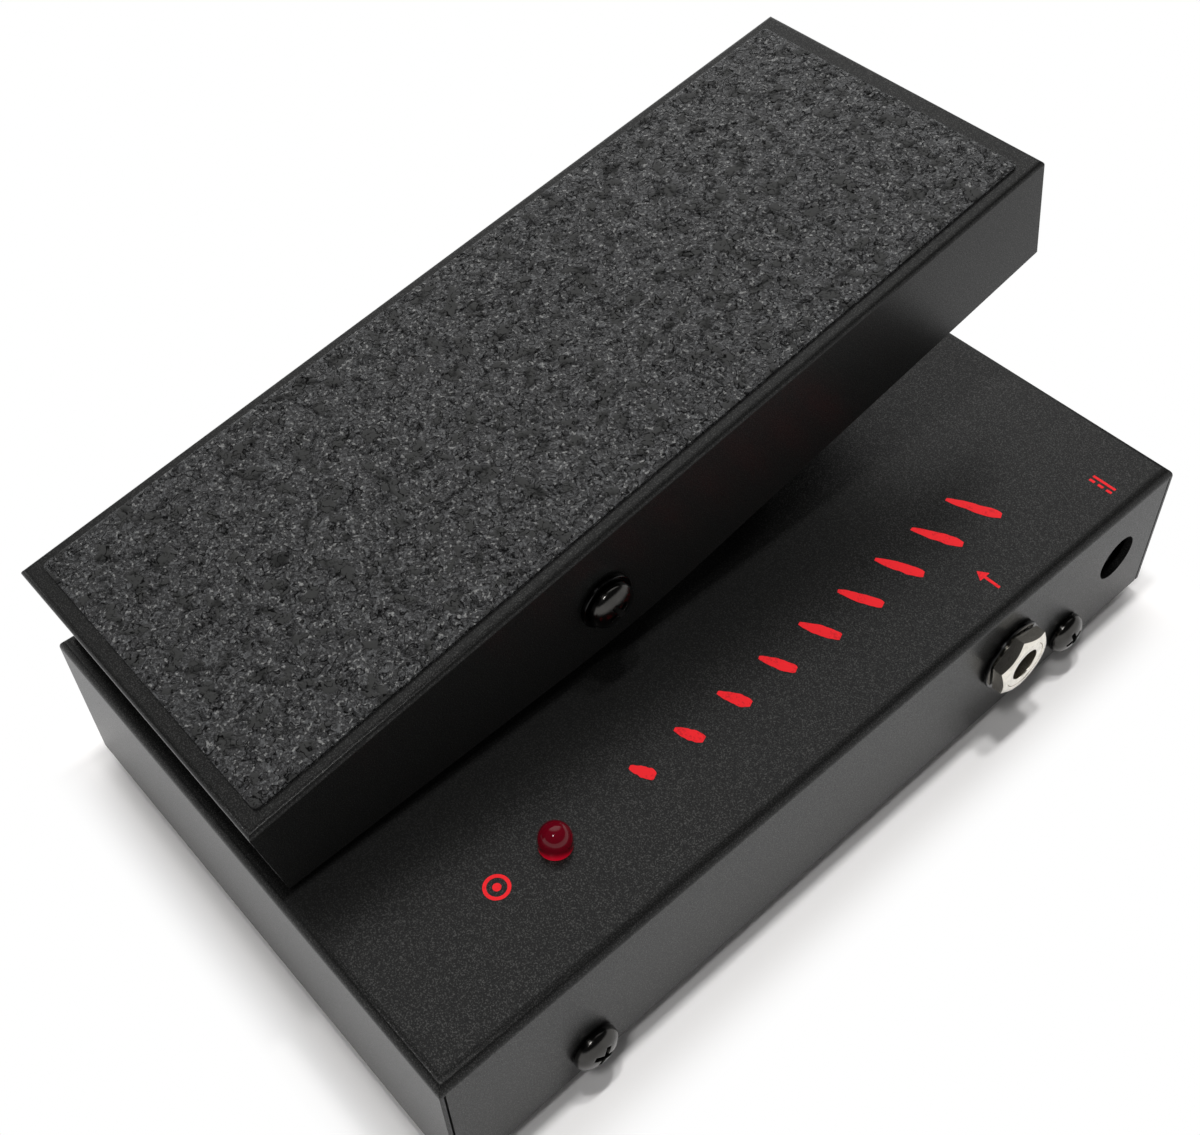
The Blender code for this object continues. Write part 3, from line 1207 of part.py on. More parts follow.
def build_stops():
    """Rubber stops on the case top that end the treadle's travel, heel end up and toe end down."""
    for name, from_heel, tilt in (
        ("heel_stop", HEEL_STOP_FROM_HEEL, REST_TILT),
        ("toe_stop", TOE_STOP_FROM_HEEL, PRESSED_TILT),
    ):
        y = stop_y(from_heel, tilt)
        low = BASE_TOP_Z + CLEARANCE
        dome_reach = math.hypot(STOP_RADIUS * math.sin(tilt), STOP_DOME * math.cos(tilt))
        dome_base = underside_z(y, tilt) - (dome_reach + CLEARANCE) / math.cos(tilt)
        post = dome_profile(STOP_RADIUS, STOP_DOME, dome_base) + [
            (STOP_RADIUS, low),
            (STOP_STEM_RADIUS, low),
            (STOP_STEM_RADIUS, COVER_UNDERSIDE_Z - STOP_STEM_REACH),
            (0, COVER_UNDERSIDE_Z - STOP_STEM_REACH),
        ]
        add_turned(name, post, Finish.FOOT_RUBBER, place=Matrix.Translation((TREADLE_X, y, 0)))


def add_pivot_empty():
    """The empty that carries the treadle, on the hinge axis and tilted to the rest position."""
    pivot = bpy.data.objects.new("treadle_pivot", None)
    PARTS.objects.link(pivot)
    pivot.location = (TREADLE_X, PIVOT_Y, PIVOT_Z)
    pivot.rotation_euler.x = REST_TILT
    return pivot


def shade_round_pieces():
    """Smooth shading with sharp edges kept where faces meet at a clear angle."""
    for part in PARTS.objects:
        if part.type == "MESH" and part.data.polygons:
            part.data.shade_smooth()
            part.data.set_sharp_from_angle(angle=SHARP_ANGLE)


def main():
    build_cover()
    build_bottom_plate()
    build_feet()
    build_case_screws()
    build_jack("input_jack", SIDES["right"])
    build_jack("output_jack", SIDES["left"])
    build_inlet()
    build_board()
    build_sensor()
    build_lamp()
    pivot = add_pivot_empty()
    build_bracket()
    build_pivot(pivot)
    build_treadle(pivot)
    build_spring()
    build_stops()
    shade_round_pieces()
    bpy.context.view_layer.update()
    print(f"hinge at Y {PIVOT_Y:.6f}, Z {PIVOT_Z:.6f}, X middle {TREADLE_X:.6f}")
    print(f"travel {math.degrees(REST_TILT - PRESSED_TILT):.2f} degrees")


clear_scene()
PARTS = new_collection("rocker_pedal")
CUTTERS = new_collection("cutters")
main()
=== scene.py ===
"""Looks of a rocker pedal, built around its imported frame.

Each sub-assembly is a class. It makes its meshes in metres in the frame's own place, dresses them with node
materials and rides them on the body that carries them.
"""

import json
import logging
import math
from dataclasses import dataclass, field
from enum import Enum
from itertools import product
from typing import Callable, Mapping, Sequence, Union

import bmesh
import bpy
import numpy as np
from mathutils import Matrix, Vector, noise


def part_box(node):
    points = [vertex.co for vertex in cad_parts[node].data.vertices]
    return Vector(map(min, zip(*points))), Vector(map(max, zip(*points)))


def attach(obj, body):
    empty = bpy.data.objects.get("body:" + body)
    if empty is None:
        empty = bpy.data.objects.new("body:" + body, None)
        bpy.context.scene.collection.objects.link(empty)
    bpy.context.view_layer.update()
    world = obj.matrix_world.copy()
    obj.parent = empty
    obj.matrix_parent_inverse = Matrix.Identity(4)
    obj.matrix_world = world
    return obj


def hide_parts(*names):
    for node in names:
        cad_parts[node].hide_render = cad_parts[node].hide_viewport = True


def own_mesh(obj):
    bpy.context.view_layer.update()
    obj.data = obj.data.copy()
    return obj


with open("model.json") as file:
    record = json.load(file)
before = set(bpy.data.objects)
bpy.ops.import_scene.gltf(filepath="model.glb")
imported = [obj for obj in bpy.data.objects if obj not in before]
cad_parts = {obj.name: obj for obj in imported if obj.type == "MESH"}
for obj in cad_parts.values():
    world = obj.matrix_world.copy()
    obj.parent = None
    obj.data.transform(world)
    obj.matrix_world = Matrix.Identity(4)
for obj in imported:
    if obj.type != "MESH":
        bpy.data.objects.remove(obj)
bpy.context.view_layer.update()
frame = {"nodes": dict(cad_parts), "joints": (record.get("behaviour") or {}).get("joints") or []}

LOG = logging.getLogger("rocker_pedal")

Colour = tuple[float, float, float]
Place = tuple[float, float, float]
Point = tuple[float, float]
Value = Union["Socket", float, Sequence[float]]

# How finely round shapes are drawn, and the least radius that isn't a point on the axis
TURN_STEPS = 64
FOLD_STEPS = 10
TINY = 1e-7
# How far a cutter reaches past what it cuts
CUT_MARGIN = 0.002
# Faces that meet at less than this angle are shaded as one
SMOOTH_ANGLE = math.radians(32)
# Edges where faces meet at more than this angle are rounded
SHARP_ANGLE = math.radians(50)
# The share of a side that the rounding of one corner may take
CORNER_SHARE = 0.48
# The middle value of a noise pattern
NOISE_MEAN = 0.5
BLACK = (0.0, 0.0, 0.0)
ORIGIN = (0.0, 0.0, 0.0)
UP = (0.0, 0.0, 1.0)
# Turns an outline in X and Y into one in Y and Z, drawn out along X
SIDEWAYS = Matrix(((0, 0, 1, 0), (1, 0, 0, 0), (0, 1, 0, 0), (0, 0, 0, 1)))


class Body(Enum):
    """The two bodies that pieces ride on."""

    BASE = "base"
    TREADLE = "treadle"


class Side(Enum):
    """A side of the pedal, with the sign of its X."""

    RIGHT = 1
    LEFT = -1

    @property
    def tag(self) -> str:
        """The word for this side in the names of pieces."""
        return self.name.lower()

    @property
    def outwards(self) -> Matrix:
        """A turn that points +Z out of this side."""
        return Matrix.Rotation(self.value * math.pi / 2, 4, "Y")


class End(Enum):
    """An end of the pedal, with the sign of its Y."""

    TOE = 1
    HEEL = -1

    @property
    def tag(self) -> str:
        """The word for this end in the names of pieces."""
        return self.name.lower()


# The corners of the pedal, in the order in which their pieces are made
CORNERS = tuple(product(Side, End))


class Socket:
    """An output of a shader node, which can stand in a Python sum."""

    def __init__(self, tree: "ShaderTree", output: bpy.types.NodeSocket | None) -> None:
        """Keep the tree and the output.

        Args:
            tree: the tree that the node is in.
            output: the node's output, or None for a node that has none.
        """
        self.tree = tree
        self.output = output

    def _sum(self, operation: str, first: Value, second: Value) -> "Socket":
        """Add a Math node.

        Args:
            operation: the Math node's operation.
            first: the left side of the sum.
            second: the right side of the sum.

        Returns:
            The node's value.
        """
        return self.tree.node("ShaderNodeMath", {"operation": operation}, {0: first, 1: second})

    def __add__(self, other: Value) -> "Socket":
        """This value plus another."""
        return self._sum("ADD", self, other)

    def __radd__(self, other: Value) -> "Socket":
        """Another value plus this one."""
        return self._sum("ADD", other, self)

    def __sub__(self, other: Value) -> "Socket":
        """This value less another."""
        return self._sum("SUBTRACT", self, other)

    def __rsub__(self, other: Value) -> "Socket":
        """Another value less this one."""
        return self._sum("SUBTRACT", other, self)

    def __mul__(self, other: Value) -> "Socket":
        """This value times another."""
        return self._sum("MULTIPLY", self, other)

    def __rmul__(self, other: Value) -> "Socket":
        """Another value times this one."""
        return self._sum("MULTIPLY", other, self)

    def rising(self, low: float, high: float) -> "Socket":
        """A smooth mask of this value.

        Args:
            low: the value up to which the mask is 0.
            high: the value from which the mask is 1.

        Returns:
            The mask.
        """
        settings = {"interpolation_type": "SMOOTHSTEP"}
        return self.tree.node(
            "ShaderNodeMapRange", settings, {"Value": self, "From Min": low, "From Max": high}
        )

    def band(self, rise: Point, fall: Point) -> "Socket":
        """A smooth mask of a band of this value.

        Args:
            rise: the values between which the mask goes from 0 to 1.
            fall: the values between which it goes back to 0.

        Returns:
            The mask.
        """
        return self.rising(*rise) * (1 - self.rising(*fall))


class ShaderTree:
    """The node tree of a material or a world, filled by one node-making method."""

    def __init__(self, owner: bpy.types.Material | bpy.types.World) -> None:
        """Empty the owner's tree.

        Args:
            owner: the material or world whose nodes are made.
        """
        owner.use_nodes = True
        self.tree = owner.node_tree
        self.tree.nodes.clear()

    def node(
        self,
        kind: str,
        settings: Mapping[str, object] | None = None,
        inputs: Mapping[str | int, Value] | None = None,
        output: str | int = 0,
    ) -> Socket:
        """Make a node.

        Args:
            kind: the node's type.
            settings: the node's own properties, which are set first.
            inputs: a value or a link for each socket, by name or number.
            output: the output that is wanted, by name or number.

        Returns:
            That output.
        """
        made = self.tree.nodes.new(kind)
        for key, value in (settings or {}).items():
            setattr(made, key, value)
        for key, value in (inputs or {}).items():
            socket = made.inputs[key]
            if isinstance(value, Socket):
                self.tree.links.new(value.output, socket)
            elif socket.type == "RGBA":
                socket.default_value = (*value, 1.0)
            else:
                socket.default_value = value
        return Socket(self, made.outputs[output] if made.outputs else None)

    def place(self) -> Socket:
        """Places on the piece, in metres, which stay with it as it moves."""
        return self.node("ShaderNodeTexCoord", output="Object")

    def noise(self, place: Socket, size: float, detail: float = 2.0, roughness: float = 0.5) -> Socket:
        """A cloudy pattern from 0 to 1.

        Args:
            place: where on the piece it is read.
            size: the width of its features in metres.
            detail: how many finer layers it has.
            roughness: how strong the finer layers are.

        Returns:
            The pattern's value.
        """
        inputs = {"Vector": place, "Scale": 1 / size, "Detail": detail, "Roughness": roughness}
        return self.node("ShaderNodeTexNoise", None, inputs)

    def vector(self, operation: str, *inputs: Value, output: str = "Vector") -> Socket:
        """Sums on places and directions.

        Args:
            operation: the Vector Math node's operation.
            *inputs: its inputs in order.
            output: the output that is wanted.

        Returns:
            That output.
        """
        settings = {"operation": operation}
        return self.node("ShaderNodeVectorMath", settings, dict(enumerate(inputs)), output)

    def warped(self, place: Socket, size: float, reach: float) -> Socket:
        """Places pushed about by a cloudy pattern.

        Args:
            place: where on the piece.
            size: the width of the pattern's features in metres.
            reach: how far places are pushed, in metres.

        Returns:
            The new places.
        """
        push = self.node("ShaderNodeTexNoise", None, {"Vector": place, "Scale": 1 / size}, "Color")
        return self.vector("MULTIPLY_ADD", push, (reach, reach, reach), place)

    def mix(self, mask: Value, first: Value, second: Value) -> Socket:
        """A colour between two.

        Args:
            mask: 0 for the first colour, 1 for the second.
            first: a colour.
            second: a colour.

        Returns:
            The mixed colour.
        """
        return self.node(
            "ShaderNodeMix", {"data_type": "RGBA"}, {0: mask, 6: first, 7: second}, output=2
        )

    def along(self, place: Socket, origin: Sequence[float], way: Sequence[float]) -> Socket:
        """How far places lie along a direction.

        Args:
            place: where on the piece.
            origin: where the distance is zero.
            way: the direction.

        Returns:
            The distance, in metres for a direction of length one.
        """
        return self.vector("DOT_PRODUCT", self.vector("SUBTRACT", place, origin), way, output="Value")

    def bump(self, height: Socket, depth: float) -> Socket:
        """A normal from a height pattern.

        Args:
            height: the pattern, where 1 is high.
            depth: how far 1 stands above 0, in metres.

        Returns:
            The normal.
        """
        return self.node("ShaderNodeBump", None, {"Distance": depth, "Height": height})


@dataclass(frozen=True)
class Finish:
    """A finish: the record's slot, its colour and its shine, and what varies over it."""

    slot: str
    colour: Colour
    roughness: float
    metallic: float = 0.0

    def fixed(self) -> dict[str, Value]:
        """Shader inputs that are the same all over."""
        return {"Metallic": self.metallic}

    def varying(self, tree: ShaderTree) -> dict[str, Value]:
        """Shader inputs that vary over the surface.

        Args:
            tree: the tree that their nodes go in.

        Returns:
            The inputs by name.
        """
        raise NotImplementedError(self.slot)

    def material(self) -> bpy.types.Material:
        """The material of this finish, made when it is first asked for.

        Returns:
            The material.
        """
        name = f"{self.slot}_finish"
        known = bpy.data.materials.get(name)
        if known:
            return known
        material = bpy.data.materials.new(name)
        tree = ShaderTree(material)
        inputs = {**self.fixed(), **self.varying(tree)}
        shader = tree.node("ShaderNodeBsdfPrincipled", None, inputs)
        tree.node("ShaderNodeOutputMaterial", None, {"Surface": shader})
        return material


@dataclass(frozen=True)
class PowderCoat(Finish):
    """Fine-textured powder coat: pinhead grains, the highest of which glint."""

    grain: float = 0.00021
    peel: float = 0.0014
    depth: float = 0.000011
    peel_share: float = 0.5
    shine: float = 0.12
    dulling: float = 0.15
    fleck: Colour = (0.057, 0.057, 0.055)
    fleck_rise: Point = (0.5, 0.68)

    def fixed(self) -> dict[str, Value]:
        """How strongly the paint mirrors."""
        return {"Specular IOR Level": self.shine}

    def varying(self, tree: ShaderTree) -> dict[str, Value]:
        """Grain in the colour, the shine and the surface."""
        place = tree.place()
        grain = tree.noise(place, self.grain, detail=2.0, roughness=0.6)
        peel = tree.noise(place, self.peel, detail=1.0)
        fleck = grain.rising(*self.fleck_rise)
        return {
            "Base Color": tree.mix(fleck, self.colour, self.fleck),
            "Metallic": fleck,
            "Roughness": self.roughness + (grain - NOISE_MEAN) * self.dulling,
            "Normal": tree.bump(grain + peel * self.peel_share, self.depth),
        }


@dataclass(frozen=True)
class GripRubber(Finish):
    """Wrinkled rubber: rough grains with painted highlights and painted glints, smooth islands, and cracks
    with painted shade.

    The pad's mesh carries the islands in the red and its grooves in the green of its relief. The pairs are
    the pattern values between which a mask rises or falls.
    """

    relief: str = "relief"
    grain: float = 0.00055
    wrinkle: float = 0.0018
    crease: float = 0.0011
    depth: float = 0.00017
    painted_glint_size: float = 0.00065
    # Painted highlight: a paler colour for grain tops and the ridges beside the cracks.
    painted_highlight: Colour = (0.069, 0.0704, 0.0718)
    # Painted glints: bright specks on the grains.
    painted_glint: Colour = (0.17, 0.17, 0.166)
    island: Colour = (0.0267, 0.027, 0.0263)
    # Painted shade: the near-black colour of the cracks, grooves and island rims.
    crack: Colour = (0.001, 0.001, 0.001)
    shine: float = 0.19
    grain_rise: Point = (0.3, 0.7)
    painted_glint_rise: Point = (0.6, 0.72)
    painted_highlight_rise: Point = (0.35, 0.95)
    patch_share: float = 0.6
    patch_rise: Point = (0.46, 0.54)
    crack_band: tuple[Point, Point] = ((0.42, 0.45), (0.46, 0.49))
    split_band: tuple[Point, Point] = ((0.40, 0.43), (0.44, 0.47))
    ridge_band: tuple[Point, Point] = ((0.49, 0.52), (0.55, 0.6))
    rim_band: tuple[Point, Point] = ((0.05, 0.35), (0.5, 0.9))
    wrinkle_ledge: Point = (0.46, 0.51)
    crease_ledge: Point = (0.46, 0.53)
    # How strongly painted shade darkens the cracks, splits, grooves and island rims.
    crack_painted_shade: float = 0.8
    split_painted_shade: float = 0.5
    groove_painted_shade: float = 0.4
    rim_painted_shade: float = 0.1
    ledge_height: float = 0.5
    grain_height: float = 0.5
    dark_height: float = -0.7
    # How much painted highlight the grain tops and the ridges take.
    grain_painted_highlight: float = 0.8
    ridge_painted_highlight: float = 0.4
    island_dull: float = 0.35
    dark_dull: float = 0.4

    def fixed(self) -> dict[str, Value]:
        """How strongly the rubber mirrors."""
        return {"Specular IOR Level": self.shine}

    def varying(self, tree: ShaderTree) -> dict[str, Value]:
        """Crisp wrinkles and grains between the islands with painted highlights and glints, and painted
        shade in the cracks, grooves and island rims, which are also kept from shining.
        """
        place = tree.place()
        relief = tree.node("ShaderNodeAttribute", {"attribute_name": self.relief}, None, "Color")
        island = tree.node("ShaderNodeSeparateColor", None, {"Color": relief}, "Red")
        groove = tree.node("ShaderNodeSeparateColor", None, {"Color": relief}, "Green")
        grain = tree.noise(place, self.grain, detail=2.0, roughness=0.6).rising(*self.grain_rise)
        wrinkle, crease = (
            tree.noise(tree.warped(place, size, size), size, detail=1.0)
            for size in (self.wrinkle, self.crease)
        )
        patch = tree.noise(place, self.wrinkle * self.patch_share, detail=1.0).rising(*self.patch_rise)
        crack = wrinkle.band(*self.crack_band) * patch
        split = crease.band(*self.split_band) * (1 - patch)
        ridge = wrinkle.band(*self.ridge_band) * patch
        rim = island.band(*self.rim_band)
        # Painted shade: this mask darkens the cracks, splits, grooves and island rims.
        painted_shade = 1 - (1 - crack * self.crack_painted_shade) * (1 - split * self.split_painted_shade) * (
            1 - groove * self.groove_painted_shade
        ) * (1 - rim * self.rim_painted_shade)
        ledge = wrinkle.rising(*self.wrinkle_ledge) + crease.rising(*self.crease_ledge)
        rough = (1 - island) * (grain * self.grain_height + ledge * self.ledge_height)
        # Painted highlight: pale marks the grain tops and ridges, which are coloured lighter.
        pale = (1 - island) * (grain * self.grain_painted_highlight + ridge * self.ridge_painted_highlight)
        # Painted glints: bright specks on the grains outside the islands.
        painted_glint = tree.noise(place, self.painted_glint_size, detail=1.0).rising(*self.painted_glint_rise)
        ground = tree.mix(pale.rising(*self.painted_highlight_rise), self.colour, self.painted_highlight)
        ground = tree.mix(painted_glint * (1 - island), ground, self.painted_glint)
        ground = tree.mix(island, ground, self.island)
        # The painted shade also drives Metallic, so that with its near-black colour the dark places lose
        # their shine.
        return {
            "Base Color": tree.mix(painted_shade, ground, self.crack),
            "Metallic": painted_shade,
            "Roughness": self.roughness + island * self.island_dull + painted_shade * self.dark_dull,
            "Normal": tree.bump(rough + island + painted_shade * self.dark_height, self.depth),
        }


@dataclass(frozen=True)
class PlatedMetal(Finish):
    """Plated metal: faint smudges and fine polishing marks."""

    smudge: float = 0.0018
    mark: float = 0.00012
    mark_stretch: Place = (1.0, 1.0, 9.0)
    depth: float = 0.000004
    smudge_rise: Point = (0.35, 0.75)
    smudge_tone: float = 0.8
    dulling: float = 0.06

    def varying(self, tree: ShaderTree) -> dict[str, Value]:
        """Smudges in the shine, and marks in the surface."""
        place = tree.place()
        smudge = tree.noise(place, self.smudge, detail=3.0)
        mark = tree.noise(tree.vector("MULTIPLY", place, self.mark_stretch), self.mark, detail=1.0)
        dull = tuple(part * self.smudge_tone for part in self.colour)
        return {
            "Base Color": tree.mix(smudge.rising(*self.smudge_rise), self.colour, dull),
            "Roughness": self.roughness + (smudge + mark) * self.dulling,
            "Normal": tree.bump(mark, self.depth),
        }


@dataclass(frozen=True)
class Moulded(Finish):
    """Moulded plastic or rubber: a fine spark texture and slow changes of tone."""

    spark: float = 0.00022
    tone: float = 0.004
    depth: float = 0.00001
    tone_rise: Point = (0.3, 0.7)
    tone_gain: float = 1.3
    tone_lift: float = 0.002
    dulling: float = 0.15

    def varying(self, tree: ShaderTree) -> dict[str, Value]:
        """Tone in the colour, spark texture in the shine and the surface."""
        place = tree.place()
        spark = tree.noise(place, self.spark)
        tone = tree.noise(place, self.tone)
        pale = tuple(part * self.tone_gain + self.tone_lift for part in self.colour)
        return {
            "Base Color": tree.mix(tone.rising(*self.tone_rise), self.colour, pale),
            "Roughness": self.roughness + (spark - NOISE_MEAN) * self.dulling,
            "Normal": tree.bump(spark, self.depth),
        }


@dataclass(frozen=True)
class LampLens(Finish):
    """Deep red epoxy, with a painted glow low on the far side where light from above would gather, and
    painted shade that darkens the crown.
    """

    # Painted shade: the crown is coloured darker than the lower dome, for how light passes through it.
    crown: Colour = (0.10, 0.001, 0.006)
    # Painted glow: an emission colour low on the far side, for light gathered in the dome of an unlit lamp.
    painted_glow: Colour = (0.36, 0.002, 0.012)
    centre: Place = (0.035, -0.0501, 0.0378)
    painted_glow_towards: Place = (0.45, -0.40, -0.80)
    painted_glow_reach: Point = (0.0013, 0.0034)
    painted_shade_reach: Point = (-0.0002, 0.0022)
    refraction: float = 1.34
    painted_glow_strength: float = 1.0
    smudge: float = 0.0012
    dulling: float = 0.03

    def fixed(self) -> dict[str, Value]:
        """How strongly the epoxy mirrors, and the strength of the painted glow."""
        return {"IOR": self.refraction, "Emission Strength": self.painted_glow_strength}

    def varying(self, tree: ShaderTree) -> dict[str, Value]:
        """Painted shade darker towards the crown, the painted glow low on the far side, and a nearly smooth
        surface.
        """
        place = tree.place()
        # low masks the painted glow on the far side; high masks the painted shade at the crown.
        low = tree.along(place, self.centre, self.painted_glow_towards).rising(*self.painted_glow_reach)
        high = tree.along(place, self.centre, UP).rising(*self.painted_shade_reach)
        smudge = tree.noise(place, self.smudge)
        return {
            "Base Color": tree.mix(high, self.colour, self.crown),
            "Roughness": self.roughness + smudge * self.dulling,
            "Emission Color": tree.mix(low, BLACK, self.painted_glow),
        }


@dataclass(frozen=True)
class PrintedInk(Finish):
    """Screen-printed ink that lies in the grain of the paint below it."""

    grain: float = 0.00042
    worn: Colour = (0.56, 0.012, 0.018)
    depth: float = 0.00001
    shine: float = 0.2
    dulling: float = 0.2
    thin: float = 0.00168
    thin_rise: Point = (0.28, 0.45)

    def fixed(self) -> dict[str, Value]:
        """How strongly the ink mirrors."""
        return {"Specular IOR Level": self.shine}

    def varying(self, tree: ShaderTree) -> dict[str, Value]:
        """Thin places in the colour, and the paint's grain."""
        place = tree.place()
        grain = tree.noise(place, self.grain, detail=2.0, roughness=0.6)
        thin = tree.noise(place, self.thin)
        return {
            "Base Color": tree.mix((grain * thin).rising(*self.thin_rise), self.colour, self.worn),
            "Roughness": self.roughness + (grain - NOISE_MEAN) * self.dulling,
            "Normal": tree.bump(grain, self.depth),
        }


class Surface(Enum):
    """The finish of each material slot of the record."""

    POWDER = PowderCoat("powder_coat", (0.0075, 0.0075, 0.0073), 0.3)
    GRIP = GripRubber("pad_rubber", (0.023, 0.023, 0.0234), 0.22)
    BLACK_NICKEL = PlatedMetal("black_screw", (0.06, 0.058, 0.055), 0.11, 1.0)
    BLACK_GLOSS = PlatedMetal("black_washer", (0.025, 0.025, 0.025), 0.12, 1.0)
    NICKEL = PlatedMetal("nickel", (0.80, 0.76, 0.68), 0.13, 1.0)
    ZINC = PlatedMetal("zinc", (0.55, 0.56, 0.58), 0.32, 1.0)
    SPRING = PlatedMetal("spring_steel", (0.45, 0.45, 0.46), 0.26, 1.0)
    BLACK_PLASTIC = Moulded("black_plastic", (0.012, 0.012, 0.013), 0.45)
    NYLON = Moulded("nylon", (0.72, 0.70, 0.64), 0.42)
    RUBBER = Moulded("foot_rubber", (0.016, 0.016, 0.016), 0.62, depth=0.00003)
    LENS = LampLens("red_lens", (0.17, 0.002, 0.010), 0.03)
    BOARD = Moulded("board_green", (0.012, 0.10, 0.04), 0.3)
    RED_WIRE = Moulded("red_wire", (0.5, 0.02, 0.02), 0.35)
    BLACK_WIRE = Moulded("black_wire", (0.015, 0.015, 0.015), 0.35)
    RELAY = Moulded("relay_case", (0.55, 0.25, 0.04), 0.3)
    INDUCTOR = Moulded("inductor_case", (0.42, 0.06, 0.04), 0.4)
    CAPACITOR = Moulded("capacitor_sleeve", (0.02, 0.03, 0.1), 0.25)
    INK = PrintedInk("red_print", (0.76, 0.016, 0.022), 0.62)


class Form:
    """A mesh on the bench: made from a profile or an outline, then cut, eased and placed."""

    def __init__(self, mesh: bpy.types.Mesh) -> None:
        """Keep the mesh."""
        self.mesh = mesh

    @classmethod
    def filled(cls, fill: Callable[[bmesh.types.BMesh], None]) -> "Form":
        """A form from a function that fills an empty shape.

        Args:
            fill: adds the points and faces.

        Returns:
            The form, with its faces pointing out.
        """
        shape = bmesh.new()
        fill(shape)
        bmesh.ops.recalc_face_normals(shape, faces=shape.faces)
        mesh = bpy.data.meshes.new("form")
        shape.to_mesh(mesh)
        shape.free()
        return cls(mesh)

    @classmethod
    def turned(cls, profile: Sequence[Point], ring: bool = False, steps: int = TURN_STEPS) -> "Form":
        """A profile turned about the Z axis.

        Args:
            profile: radius and height pairs.
            ring: whether the profile is closed, round a hole.
            steps: how many stretches the turn has.

        Returns:
            The form.
        """

        def fill(shape: bmesh.types.BMesh) -> None:
            """Add a row of points for each place of the profile, and faces between rows."""
            rows = []
            for radius, height in profile:
                count = steps if radius > TINY else 1
                angles = [math.tau * i / steps for i in range(count)]
                places = [(radius * math.cos(a), radius * math.sin(a), height) for a in angles]
                rows.append([shape.verts.new(place) for place in places])
            pairs = list(zip(rows, rows[1:]))
            if ring:
                pairs.append((rows[-1], rows[0]))
            for upper, lower in pairs:
                for i in range(steps):
                    j = i + 1
                    corners = (
                        upper[i % len(upper)],
                        lower[i % len(lower)],
                        lower[j % len(lower)],
                        upper[j % len(upper)],
                    )
                    corners = list(dict.fromkeys(corners))
                    if len(corners) > 2:
                        shape.faces.new(corners)

        return cls.filled(fill)

    @classmethod
    def prism(cls, outline: Sequence[Point], low: float, high: float, low_scale: float = 1.0) -> "Form":
        """An outline in X and Y drawn out along Z.

        Args:
            outline: the corners of the upper face.
            low: the height of the lower face.
            high: the height of the upper face.
            low_scale: the size of the lower face against the upper one.

        Returns:
            The form.
        """

        def fill(shape: bmesh.types.BMesh) -> None:
            """Add both faces and the wall between them."""
            top = [shape.verts.new((x, y, high)) for x, y in outline]
            bottom = [shape.verts.new((x * low_scale, y * low_scale, low)) for x, y in outline]
            shape.faces.new(top)
            shape.faces.new(bottom[::-1])
            for i in range(len(outline)):
                shape.faces.new((top[i - 1], bottom[i - 1], bottom[i], top[i]))

        return cls.filled(fill)

    @classmethod
    def block(cls, low: Sequence[float], high: Sequence[float]) -> "Form":
        """A box between two corners.

        Args:
            low: its lowest corner.
            high: its highest corner.

        Returns:
            The form.
        """
        outline = [(low[0], low[1]), (high[0], low[1]), (high[0], high[1]), (low[0], high[1])]
        return cls.prism(outline, low[2], high[2])

    @classmethod
    def rod(cls, radius: float, low: float, high: float, steps: int = TURN_STEPS) -> "Form":
        """A round rod along Z.

        Args:
            radius: its radius.
            low: the height of its lower end.
            high: the height of its upper end.
            steps: how many stretches its turn has.

        Returns:
            The form.
        """
        return cls.turned([(0, high), (radius, high), (radius, low), (0, low)], steps=steps)

    @classmethod
    def collar(cls, corners: Sequence[Point], edge: float) -> "Form":
        """A closed profile turned about the Z axis, round a bore.

        Args:
            corners: radius and height pairs.
            edge: how far the rounding of its edges reaches.

        Returns:
            The form.
        """
        return cls.turned(softened(corners, edge, closed=True), ring=True)

    @classmethod
    def channel(
        cls, corners: Sequence[Point], ends: tuple[float, float], bend: float, sheet: float
    ) -> "Form":
        """A channel of folded sheet along Y.

        Args:
            corners: its bent line in X and Z, with the outer side to the right of it.
            ends: Y where it starts and ends.
            bend: the outer radius of its folds.
            sheet: the thickness of the sheet.

        Returns:
            The form.
        """
        shape = bmesh.new()
        near, far = [[shape.verts.new((x, y, z)) for x, z in corners] for y in ends]
        for i in range(len(corners) - 1):
            shape.faces.new((near[i], far[i], far[i + 1], near[i + 1]))
        return cls._folded(shape, bend, sheet)

    @classmethod
    def cover(cls, low: Vector, high: Vector, bend: float, sheet: float, lip: float = 0.0) -> "Form":
        """A box of folded sheet that is open below.

        Args:
            low: its lowest corner.
            high: its highest corner.
            bend: the outer radius of its folds.
            sheet: the thickness of the sheet.
            lip: the depth of its heel and toe walls where they are only lips, or 0 for full walls.

        Returns:
            The form.
        """
        shape = bmesh.new()
        plan = [(low.x, low.y), (high.x, low.y), (high.x, high.y), (low.x, high.y)]

        def ring(height: float) -> list[bmesh.types.BMVert]:
            """The four corners at a height."""
            return [shape.verts.new((x, y, height)) for x, y in plan]

        top, foot = ring(high.z), ring(high.z - lip if lip else low.z)
        shape.faces.new(top)
        for i in range(4):
            ahead = (i + 1) % 4
            wall = [foot[i], foot[ahead], top[ahead], top[i]]
            if lip and i % 2:
                neck = [shape.verts.new(foot[k].co - Vector((0, 0, lip / 2))) for k in (i, ahead)]
                base = [shape.verts.new((*plan[k], low.z)) for k in (i, ahead)]
                wall = [foot[i], neck[0], *base, neck[1], foot[ahead], top[ahead], top[i]]
            shape.faces.new(wall)
        return cls._folded(shape, bend, sheet)

